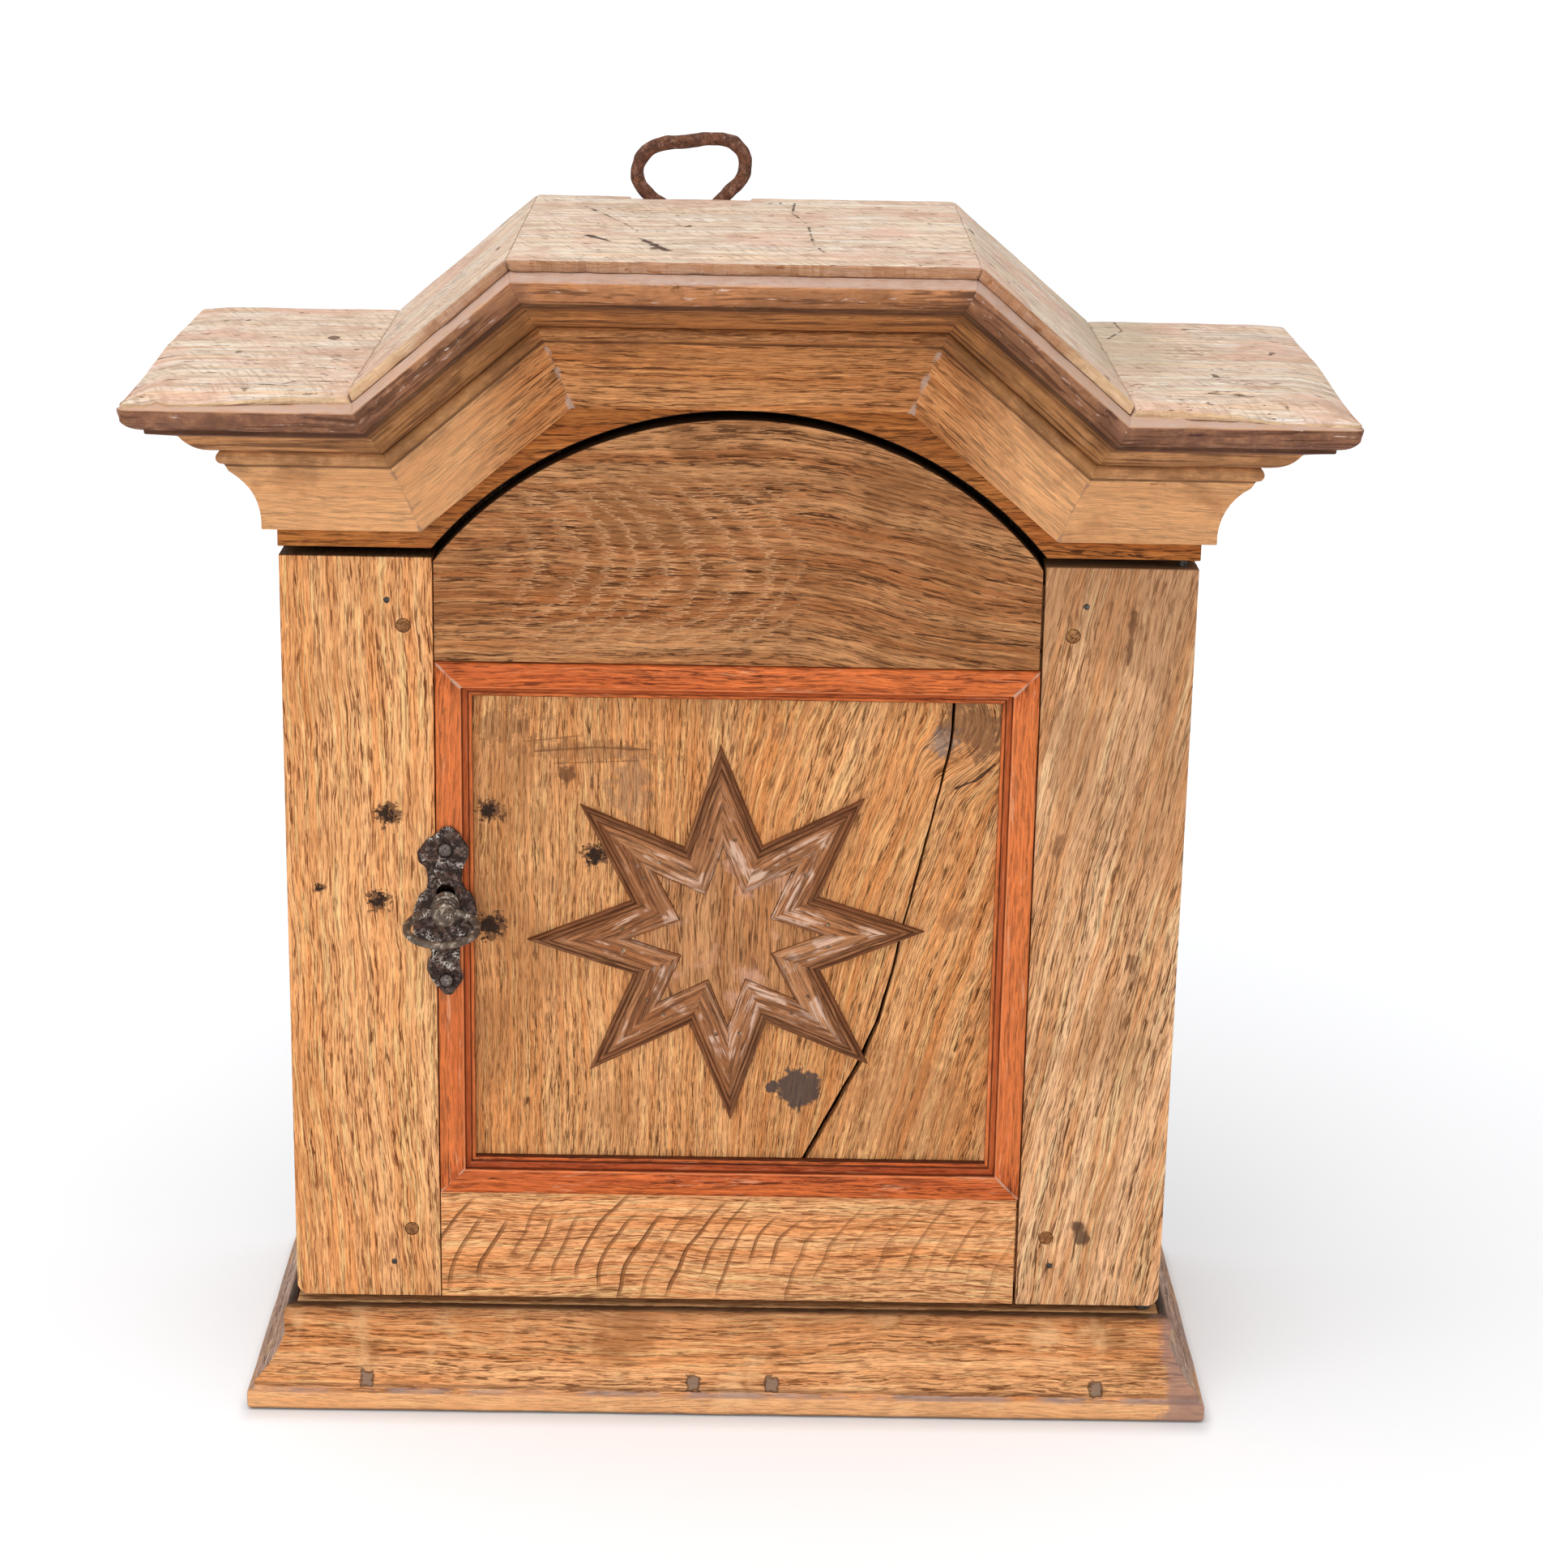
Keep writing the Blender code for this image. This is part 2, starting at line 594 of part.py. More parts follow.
def round_hinge_edge(piece, radius):
    """Rounds the back outer edge of the hinge stile, so that it clears the case as the door turns."""
    shape = bmesh.new()
    shape.from_mesh(piece.data)
    edge_x = max(vert.co.x for vert in shape.verts)
    edge_y = max(vert.co.y for vert in shape.verts)
    upright = [edge for edge in shape.edges
               if all(abs(vert.co.x - edge_x) < SEAT and abs(vert.co.y - edge_y) < SEAT for vert in edge.verts)]
    bmesh.ops.bevel(shape, geom=upright, offset=radius, segments=CURVE_STEPS, profile=0.5, affect="EDGES")
    shape.to_mesh(piece.data)
    shape.free()


def tenon_block(name, side, low_z, high_z, grow, overlap):
    """A tenon on one end of a rail, or with some growth the mortise for it."""
    middle = (TONGUE_FACE * 2 + TONGUE_THICKNESS) / 2
    inner = side * (OPENING - overlap)
    outer = side * (OPENING + TENON_LENGTH + grow)
    low = (min(inner, outer), middle - TENON_THICKNESS / 2 - grow, low_z - grow)
    high = (max(inner, outer), middle + TENON_THICKNESS / 2 + grow, high_z + grow)
    return cutter_block(name, low, high)


def make_door_frame():
    """Two stiles and two rails, tenoned and pegged, grooved for the panel."""
    reach = TONGUE_LENGTH + SEAT
    groove = cutter_block(
        "panel_groove", (-OPENING - reach, TONGUE_FACE - SEAT, RAIL_BOTTOM_EDGE - reach),
        (OPENING + reach, TONGUE_FACE + TONGUE_THICKNESS + SEAT, RAIL_TOP_EDGE + reach))
    door_radius = ARCH_RADIUS - FRIEZE_GAP
    half_rail = OPENING - SEAT
    arched = [(half_rail, RAIL_TOP_EDGE), (-half_rail, RAIL_TOP_EDGE)] + arch_line(half_rail, door_radius)
    rail_top = upright_plate("rail_top", arched, FRONT, DOOR_BACK, BROWN_OAK)
    rail_bottom = block(
        "rail_bottom", (-half_rail, FRONT, DOOR_BOTTOM), (half_rail, DOOR_BACK, RAIL_BOTTOM_EDGE), HONEY_OAK)
    upper_tenon = RAIL_TOP_EDGE + TENON_SHOULDER
    tenons = {"top": (upper_tenon, upper_tenon + TENON_TOP_HEIGHT),
              "bottom": (DOOR_BOTTOM + TENON_SHOULDER, RAIL_BOTTOM_EDGE - TENON_SHOULDER)}
    rails = {"top": rail_top, "bottom": rail_bottom}
    heights = {"top": RAIL_TOP_EDGE + PEG_RISE, "bottom": RAIL_BOTTOM_EDGE - PEG_DROP}
    for side, hand in ((-1, "left"), (1, "right")):
        edges = sorted((side * OPENING, side * HALF_DOOR))
        stile = block(f"stile_{hand}", (edges[0], FRONT, DOOR_BOTTOM), (edges[1], DOOR_BACK, STILE_TOP), HONEY_OAK)
        if hand == "right":
            round_hinge_edge(stile, PIVOT_INSET)
            cut(stile, pivot_hole(STILE_TOP), pivot_hole(DOOR_BOTTOM))
        round_corner(stile, side, STILE_CORNER)
        cut(stile, groove)
        for level, (low_z, high_z) in tenons.items():
            fuse(rails[level], tenon_block(f"tenon_{level}_{hand}", side, low_z, high_z, 0, TENON_SHOULDER))
            cut(stile, tenon_block(f"mortise_{level}_{hand}", side, low_z, high_z, SEAT, TENON_SHOULDER))
            x = side * (OPENING + PEG_INSET)
            spot = (x, FRONT, heights[level]), (x, DOOR_BACK, heights[level])
            peg(f"peg_{level}_{hand}", *spot, PEG_RADIUS, BROWN_OAK)
            long_spot = (x, FRONT - PEG_RADIUS, heights[level]), (x, DOOR_BACK + PEG_RADIUS, heights[level])
            bore = cutter_peg(f"peg_bore_{level}_{hand}", *long_spot, PEG_RADIUS + SEAT)
            cut(stile, bore)
            cut(rails[level], bore)
    cut(rail_top, groove)
    cut(rail_bottom, groove)


def keyhole():
    """The keyhole, right through the door: a round bore with a slot under it."""
    front, back = PLATE_FACE - LOCK_DEPTH, DOOR_BACK
    bore = cutter_peg("keyhole_bore", (KEY_X, front, KEY_HEIGHT), (KEY_X, back, KEY_HEIGHT), KEYHOLE_RADIUS)
    slot = cutter_block("keyhole_slot", (KEY_X - KEYHOLE_SLOT / 2, front, KEY_HEIGHT - KEYHOLE_DROP),
                        (KEY_X + KEYHOLE_SLOT / 2, back, KEY_HEIGHT))
    return bore, slot


def frame_profile():
    """The red panel moulding, as (height over the panel, way in from the outer edge)."""
    crown = PANEL_RECESS + FRAME_PROUD - SEAT
    bead_inner = FRAME_WIDTH - SEAT
    bead_outer = bead_inner - FRAME_BEAD
    band = bow((crown - FRAME_PROUD / 3, 0), (crown - FRAME_PROUD / 3, FRAME_BAND), -FRAME_PROUD / 3)
    cove = bow((crown - FRAME_PROUD / 2, FRAME_BAND), (FRAME_BEAD_HEIGHT, bead_outer), FRAME_BEAD / 3)
    bead = bow((FRAME_BEAD_HEIGHT, bead_outer), (FRAME_BEAD_HEIGHT, bead_inner), -FRAME_BEAD / 3)
    return [(0, 0)] + band + cove + bead[1:] + [(0, bead_inner)]


def make_panel():
    """The panel in its grooves, the red mouldings on its margin, and the keyhole."""
    clear = SEAT
    low = (-OPENING + clear, PANEL_FACE, RAIL_BOTTOM_EDGE + clear)
    high = (OPENING - clear, PANEL_BACK, RAIL_TOP_EDGE - clear)
    panel = block("panel", low, high, HONEY_OAK)
    reach = TONGUE_LENGTH
    tongue = cutter_block(
        "panel_tongue", (-OPENING - reach, TONGUE_FACE, RAIL_BOTTOM_EDGE - reach),
        (OPENING + reach, TONGUE_FACE + TONGUE_THICKNESS, RAIL_TOP_EDGE + reach))
    fuse(panel, tongue)
    hole = keyhole()
    cut(panel, *hole)
    edge, face = OPENING - SEAT, PANEL_FACE - SEAT
    bottom, top = RAIL_BOTTOM_EDGE + SEAT, RAIL_TOP_EDGE - SEAT
    corners = [(-edge, face, bottom), (edge, face, bottom), (edge, face, top), (-edge, face, top)]
    names = [f"panel_moulding_{side}" for side in ("bottom", "right", "top", "left")]
    run_mouldings(names, frame_profile(), corners, RED_OAK, closed=True)
    left = bpy.data.objects["panel_moulding_left"]
    cut(left, *hole, *[escutcheon_nail_hole(height) for height in escutcheon_nail_heights()])


def star_corner(radius, angle):
    """A point of the star, by its distance and its angle from upright."""
    return (STAR_OFFSET + radius * math.sin(angle), STAR_HEIGHT + radius * math.cos(angle))


def make_star():
    """Eight star points of two mitred strips each, round a core board, planted on the panel."""
    half_turn = math.pi / STAR_POINTS
    edge = Vector((STAR_NOTCH * math.sin(half_turn), STAR_NOTCH * math.cos(half_turn) - STAR_TIP)).normalized()
    tip_lean = abs(edge.x)
    notch_lean = abs(edge.x * math.cos(half_turn) - edge.y * math.sin(half_turn))
    inner_tip = STAR_TIP - STAR_STRIP / tip_lean
    inner_notch = STAR_NOTCH - STAR_STRIP / notch_lean
    back = PANEL_FACE - SEAT
    for index in range(STAR_POINTS):
        middle = 2 * half_turn * index
        outer_slip, inner_slip = SEAT / 2 / STAR_NOTCH, SEAT / 2 / inner_notch
        outline = [star_corner(STAR_TIP, middle),
                   star_corner(STAR_NOTCH, middle + half_turn - outer_slip),
                   star_corner(inner_notch, middle + half_turn - inner_slip),
                   star_corner(inner_tip, middle),
                   star_corner(inner_notch, middle - half_turn + inner_slip),
                   star_corner(STAR_NOTCH, middle - half_turn + outer_slip)]
        upright_plate(f"star_point_{index + 1}", outline, back - STAR_THICKNESS, back, BROWN_OAK)
    core = []
    for index in range(STAR_POINTS):
        middle = 2 * half_turn * index
        core.append(star_corner(inner_tip - SEAT / tip_lean, middle))
        core.append(star_corner(inner_notch - SEAT / notch_lean, middle + half_turn))
    upright_plate("star_core", core, back - CORE_THICKNESS, back, HONEY_OAK)


def escutcheon_nail_heights():
    return (KEY_HEIGHT + ESCUTCHEON_TOP * 0.70, KEY_HEIGHT - ESCUTCHEON_FOOT * 0.84)


def escutcheon_nail_hole(height):
    front, back = PLATE_FACE - NAIL_LENGTH, PLATE_FACE + NAIL_LENGTH + SEAT
    return cutter_peg("nail_hole", (KEY_X, front, height), (KEY_X, back, height), NAIL_RADIUS + SEAT)


def escutcheon_outline():
    """A forged plate with a pointed head lobe, a waist, a wide belly and a foot lobe."""
    top, foot, wide = ESCUTCHEON_TOP, ESCUTCHEON_FOOT, ESCUTCHEON_HALF_WIDTH
    half = [(0, top), (0.42 * wide, 0.90 * top), (0.70 * wide, 0.71 * top), (0.54 * wide, 0.46 * top),
            (0.55 * wide, 0.24 * top), (0.86 * wide, 0.09 * top), (wide, -0.12 * foot),
            (0.90 * wide, -0.31 * foot), (0.52 * wide, -0.44 * foot), (0.44 * wide, -0.64 * foot),
            (0.52 * wide, -0.79 * foot), (0.31 * wide, -0.92 * foot), (0, -foot)]
    right = [(KEY_X + x, KEY_HEIGHT + z) for x, z in half]
    left = [(KEY_X - x, KEY_HEIGHT + z) for x, z in reversed(half[1:-1])]
    return right + left


def nail(name, spot, radius, head, length, finish):
    """A nail driven along +Y with its head against the given spot."""
    drive = Matrix.Translation(spot) @ Matrix.Rotation(math.pi / 2, 4, "X")
    dome = [(0, head * 0.5), (head * 0.55, head * 0.42), (head, SEAT)]
    shank = [(radius, SEAT), (radius, -length), (0, -length)]
    turned(name, dome + shank, drive, finish)


def make_escutcheon():
    plate = upright_plate("escutcheon", escutcheon_outline(), PLATE_FACE, PLATE_BACK, FORGED_IRON)
    cut(plate, *keyhole())
    for name, height in zip(("escutcheon_nail_upper", "escutcheon_nail_lower"), escutcheon_nail_heights()):
        cut(plate, escutcheon_nail_hole(height))
        nail(name, (KEY_X, PLATE_FACE, height), NAIL_RADIUS, NAIL_HEAD, NAIL_LENGTH, FORGED_IRON)


def make_lock():
    """An iron case open towards the door, the bolt in it and the keeper on the left side board."""
    low = (LOCK_LEFT, LOCK_FRONT, KEY_HEIGHT - LOCK_BELOW)
    high = (LOCK_RIGHT, LOCK_BACK, BOLT_TOP + LOCK_HEAD_ROOM)
    case = block("lock_case", low, high, FORGED_IRON)
    inner_low = (low[0] + LOCK_WALL, low[1] - LOCK_WALL, low[2] + LOCK_WALL)
    inner_high = (high[0] - LOCK_WALL, high[1] - LOCK_WALL, high[2] - LOCK_WALL)
    cut(case, cutter_block("lock_cavity", inner_low, inner_high))
    bolt_back = BOLT_FRONT + BOLT_THICKNESS
    slot_low = (LOCK_LEFT - LOCK_WALL, BOLT_FRONT - SEAT, BOLT_BOTTOM - SEAT)
    slot_high = (LOCK_LEFT + 2 * LOCK_WALL, bolt_back + SEAT, BOLT_TOP + SEAT)
    cut(case, cutter_block("bolt_slot", slot_low, slot_high))
    bore_end = LOCK_BACK + LOCK_WALL
    bore = cutter_peg("key_bore", (KEY_X, LOCK_BACK - 2 * LOCK_WALL, KEY_HEIGHT), (KEY_X, bore_end, KEY_HEIGHT),
                      KEY_RADIUS + RUNNING_FIT)
    cut(case, bore)
    tail = KEY_X + BOLT_NOTCH_AFTER + BOLT_TALON
    bolt = block("lock_bolt", (LOCK_LEFT, BOLT_FRONT, BOLT_BOTTOM), (tail, bolt_back, BOLT_TOP), KEY_STEEL)
    notch_low = (KEY_X - BOLT_NOTCH_BEFORE, BOLT_FRONT - SEAT, BOLT_BOTTOM - SEAT)
    notch_high = (KEY_X + BOLT_NOTCH_AFTER, bolt_back + SEAT, KEY_HEIGHT + KEY_BIT_REACH + 2 * SEAT)
    cut(bolt, cutter_block("bolt_notch", notch_low, notch_high))
    return bolt


def make_keeper():
    """The iron keeper: a base plate and three walls that take the bolt, open to the right and the back."""
    room = 2 * SEAT
    left, right = -INNER_SIDE + SEAT, -INNER_SIDE + SEAT + KEEPER_DEPTH
    low = (left, BOLT_FRONT - room - KEEPER_WALL, BOLT_BOTTOM - room - KEEPER_WALL)
    high = (right, BOLT_FRONT + BOLT_THICKNESS + room, BOLT_TOP + room + KEEPER_WALL)
    keeper = block("bolt_keeper", low, high, FORGED_IRON)
    hollow_low = (left + KEEPER_WALL, BOLT_FRONT - room, BOLT_BOTTOM - room)
    hollow_high = (right + KEEPER_WALL, high[1] + KEEPER_WALL, BOLT_TOP + room)
    cut(keeper, cutter_block("keeper_hollow", hollow_low, hollow_high))


def make_key():
    """A forged key: a shank with a ringed collar, a flat bit and an oval bow that lies level."""
    tip = LOCK_BACK
    collar_back = PLATE_FACE - 2 * SEAT
    collar_face = collar_back - KEY_COLLAR_LENGTH
    drive = Matrix.Translation((KEY_X, tip, KEY_HEIGHT)) @ Matrix.Rotation(math.pi / 2, 4, "X")
    length, back, face = 0, tip - collar_back, tip - collar_face
    middle = (back + face) / 2
    profile = [(0, face), (KEY_COLLAR * 0.55, face), (KEY_COLLAR * 0.80, middle), (KEY_COLLAR, back),
               (KEY_RADIUS, back), (KEY_RADIUS, length), (0, length)]
    key = turned("key", profile, drive, KEY_STEEL)
    bow_centre = collar_face + KEY_BOW_ROD - KEY_BOW_LENGTH / 2
    turns = [2 * math.pi * step / ROUND_STEPS for step in range(ROUND_STEPS)]
    ring = [(KEY_X + KEY_BOW_WIDTH / 2 * math.cos(turn), bow_centre + KEY_BOW_LENGTH / 2 * math.sin(turn), KEY_HEIGHT)
            for turn in turns]
    ring_solid = hide_tool(place(rod(ring, KEY_BOW_ROD, closed=True), "key_bow", None, CUTTERS))
    bit_low = (KEY_X, BOLT_FRONT, KEY_HEIGHT - KEY_BIT_HEIGHT / 2)
    bit_high = (KEY_X + KEY_BIT_REACH, BOLT_FRONT + BOLT_THICKNESS, KEY_HEIGHT + KEY_BIT_HEIGHT / 2)
    bit = cutter_block("key_bit", bit_low, bit_high)
    fuse(key, ring_solid, bit)
    return key


def loop_points():
    """The bent rod of the hanging loop: up one leg, round the oval and down the other leg."""
    leg = LOOP_LEG_SPACING / 2
    wide, high = LOOP_HALF_WIDTH, LOOP_HEIGHT
    oval = [(-0.82 * wide, 0.08 * high), (-wide, 0.33 * high), (-0.98 * wide, 0.56 * high),
            (-0.83 * wide, 0.78 * high), (-0.52 * wide, 0.91 * high), (-0.12 * wide, 0.96 * high),
            (0.26 * wide, high), (0.62 * wide, high), (0.86 * wide, 0.90 * high), (wide, 0.70 * high),
            (wide, 0.47 * high), (0.90 * wide, 0.28 * high), (0.70 * wide, 0.10 * high)]
    neck = LOOP_NECK_DROP
    down = [(-leg, -LOOP_LEG_DROP), (-leg, -1.35 * neck), (-leg, -neck), (-1.6 * leg, -0.62 * neck)]
    back_down = [(1.6 * leg, -0.62 * neck), (leg, -neck), (leg, -1.35 * neck), (leg, -LOOP_LEG_DROP)]
    return [(LOOP_X + x, LOOP_Y, ROOF_TOP + z) for x, z in down + oval + back_down]


def loop_recess():
    """Cuts in the back and the roof that let the loop lie within the depth of the back."""
    near = LOOP_Y - LOOP_RADIUS - SEAT
    beyond = WALL + LOOP_RADIUS
    leg = LOOP_LEG_SPACING / 2 + LOOP_RADIUS + LOOP_PLAY
    wide = LOOP_HALF_WIDTH + LOOP_RADIUS
    neck = ROOF_TOP - LOOP_NECK_DROP - LOOP_RADIUS
    slot = cutter_block("loop_slot", (LOOP_X - leg, near, ROOF_TOP - LOOP_LEG_DROP - LOOP_PLAY),
                        (LOOP_X + leg, beyond, neck + LOOP_RADIUS))
    mouth = cutter_block("loop_mouth", (LOOP_X - wide, near, neck), (LOOP_X + wide, beyond, ROOF_TOP + wide))
    return slot, mouth


def loop_nail_hole(drop):
    height = ROOF_TOP - drop
    front, back = BACK_FACE - LOOP_RADIUS, WALL + LOOP_RADIUS
    return cutter_peg("loop_nail_hole", (LOOP_X, front, height), (LOOP_X, back, height), LOOP_NAIL_RADIUS + SEAT)


def make_loop():
    """The iron loop that the cabinet hangs on, and the two broad nails over its legs."""
    place(rod(loop_points(), LOOP_RADIUS), "hanging_loop", RUSTY_IRON)
    seat = WALL - LOOP_INSET + SEAT
    head = LOOP_INSET - 2 * SEAT
    length = seat - BACK_FACE
    for name, drop in zip(("loop_nail_upper", "loop_nail_lower"), LOOP_NAIL_DROPS):
        into = Matrix.Translation((LOOP_X, seat, ROOF_TOP - drop)) @ Matrix.Rotation(-math.pi / 2, 4, "X")
        profile = [(0, head), (LOOP_NAIL_HEAD, head), (LOOP_NAIL_HEAD, 0), (LOOP_NAIL_RADIUS, 0),
                   (LOOP_NAIL_RADIUS, -length), (0, -length)]
        turned(name, profile, into, RUSTY_IRON)


def hang(axis_name, spot, pieces, parent=None):
    """Parents pieces to an empty that stands on the axis they move about."""
    axis = bpy.data.objects.new(axis_name, None)
    axis.empty_display_size = KEY_BOW_WIDTH
    axis.matrix_world = Matrix.Translation(spot)
    bpy.context.scene.collection.objects.link(axis)
    if parent:
        axis.parent = parent
        axis.matrix_parent_inverse = parent.matrix_world.inverted()
    for piece in pieces:
        piece.parent = axis
        piece.matrix_parent_inverse = Matrix.Translation(spot).inverted()
    return axis


make_case()
make_base()
make_cornice()
make_roof()
make_pivots()
make_keeper()
make_loop()
fixed_pieces = set(PIECES.objects)
make_door_frame()
make_panel()
make_star()
make_escutcheon()
lock_bolt = make_lock()
door_key = make_key()
door_pieces = set(PIECES.objects) - fixed_pieces - {lock_bolt, door_key}
bpy.context.view_layer.update()
door_axis = hang("door_axis", (PIVOT_X, PIVOT_Y, DOOR_BOTTOM), door_pieces)
hang("key_axis", (KEY_X, PLATE_FACE, KEY_HEIGHT), [door_key], door_axis)
hang("bolt_way", (LOCK_LEFT, BOLT_FRONT, BOLT_BOTTOM), [lock_bolt], door_axis)
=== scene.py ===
import math
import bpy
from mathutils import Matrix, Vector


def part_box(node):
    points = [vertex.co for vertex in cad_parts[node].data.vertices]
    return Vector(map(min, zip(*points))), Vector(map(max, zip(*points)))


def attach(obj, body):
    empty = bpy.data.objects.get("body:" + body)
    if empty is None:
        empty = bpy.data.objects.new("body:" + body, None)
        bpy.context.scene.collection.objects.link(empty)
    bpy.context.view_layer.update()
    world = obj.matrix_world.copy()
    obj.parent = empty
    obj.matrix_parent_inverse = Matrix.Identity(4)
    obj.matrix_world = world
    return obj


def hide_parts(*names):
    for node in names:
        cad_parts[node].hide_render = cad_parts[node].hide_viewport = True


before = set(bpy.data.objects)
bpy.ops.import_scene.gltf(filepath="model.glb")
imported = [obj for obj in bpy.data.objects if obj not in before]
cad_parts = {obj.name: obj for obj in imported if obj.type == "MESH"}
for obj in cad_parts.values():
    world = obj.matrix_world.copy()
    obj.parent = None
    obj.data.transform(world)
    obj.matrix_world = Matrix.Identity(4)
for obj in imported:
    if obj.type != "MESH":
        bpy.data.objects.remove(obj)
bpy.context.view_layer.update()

from types import SimpleNamespace

import bmesh
import bpy
from mathutils import Matrix, Vector, noise


# Side boards: two upright planks of oak, planed outside and toned by wax and handling.
# The base and cornice mouldings are nailed round them and the shelf is housed between them.

FORWARD = Vector((0, -1, 0))
UPWARD = Vector((0, 0, 1))
RIGHTWARD = Vector((1, 0, 0))
RING = 0.0045
GLOSS = 0.10
SEED_STEP = 3.7
LEAST_EDGE = 0.004
EASED = 0.0008


class Tone:
    """A value, colour or place inside a finish, so that its shader maths reads as plain sums."""

    def __init__(self, tree, socket=None):
        self.tree = tree
        self.socket = socket

    def node(self, kind, settings=None, links=None, output=0):
        """Adds a node: its settings first, then the values or links of its sockets."""
        fresh = self.tree.nodes.new(kind)
        for key, value in (settings or {}).items():
            setattr(fresh, key, value)
        for key, value in (links or {}).items():
            self.feed(value, fresh.inputs[key])
        return Tone(self.tree, fresh.outputs[output])

    def feed(self, value, socket):
        if isinstance(value, Tone):
            self.tree.links.new(value.socket, socket)
        else:
            socket.default_value = value

    def maths(self, operation, first, second=0.0):
        return self.node("ShaderNodeMath", {"operation": operation}, {0: first, 1: second})

    def __add__(self, other):
        return self.maths("ADD", self, other)

    def __sub__(self, other):
        return self.maths("SUBTRACT", self, other)

    def __rsub__(self, other):
        return self.maths("SUBTRACT", other, self)

    def __mul__(self, other):
        return self.maths("MULTIPLY", self, other)

    __radd__ = __add__
    __rmul__ = __mul__

    def __abs__(self):
        return self.maths("ABSOLUTE", self)

    def least(self, other):
        return self.maths("MINIMUM", self, other)

    def most(self, other):
        return self.maths("MAXIMUM", self, other)

    def fraction(self):
        return self.maths("FRACT", self)

    def hypotenuse(self, other):
        return self.maths("SQRT", self * self + other * other)

    def ramp(self, low, high):
        """0 at low and 1 at high, with soft ends. Low may be the greater of the two."""
        smooth = {"interpolation_type": "SMOOTHSTEP"}
        return self.node("ShaderNodeMapRange", smooth, {"Value": self, "From Min": low, "From Max": high})

    def between(self, low, high, soft):
        return self.ramp(low - soft, low + soft) * self.ramp(high + soft, high - soft)

    def part(self, axis):
        return self.node("ShaderNodeSeparateXYZ", links={0: self}, output=axis)

    def point(self, **parts):
        return self.node("ShaderNodeCombineXYZ", links=parts)

    def vector(self, operation, second=(0.0, 0.0, 0.0), output="Vector"):
        return self.node("ShaderNodeVectorMath", {"operation": operation}, {0: self, 1: second}, output)

    def length(self):
        return self.vector("LENGTH", output="Value")

    def mix(self, first, second, share):
        """The first colour with a share of the second over it."""
        return self.node("ShaderNodeMix", {"data_type": "RGBA"}, {0: share, 6: first, 7: second}, 2)

    def cloud(self, count, detail=2.0, roughness=0.5):
        """Soft noise from 0 to 1 at this place, with so many clouds to the metre each way."""
        spread = self.node("ShaderNodeMapping", links={"Vector": self, "Scale": count})
        values = {"Vector": spread, "Scale": 1.0, "Detail": detail, "Roughness": roughness}
        return self.node("ShaderNodeTexNoise", links=values)


class Coat:
    """A finish in the making, with the place on the object and in the plank to work from."""

    def __init__(self, name):
        self.finish = bpy.data.materials.new(name)
        self.finish.use_nodes = True
        self.bare = Tone(self.finish.node_tree)
        self.grain = self.bare.node("ShaderNodeAttribute", {"attribute_name": "grain"}, output="Vector")
        self.place = self.bare.node("ShaderNodeTexCoord", output="Object")

    def cover(self, colour, share):
        """Lays a share of another colour over the coat."""
        self.colour = self.bare.mix(self.colour, colour, share)


def paint(red, green, blue):
    """A colour as it is seen, 0 to 255, in the linear values that a finish takes."""
    seen = [channel / 255 for channel in (red, green, blue)]
    return [((channel + 0.055) / 1.055) ** 2.4 for channel in seen] + [1.0]


def scaled(colour, times):
    """A colour made lighter or darker, short of pure white."""
    return [min(0.95, times * channel) for channel in colour[:3]] + [1.0]


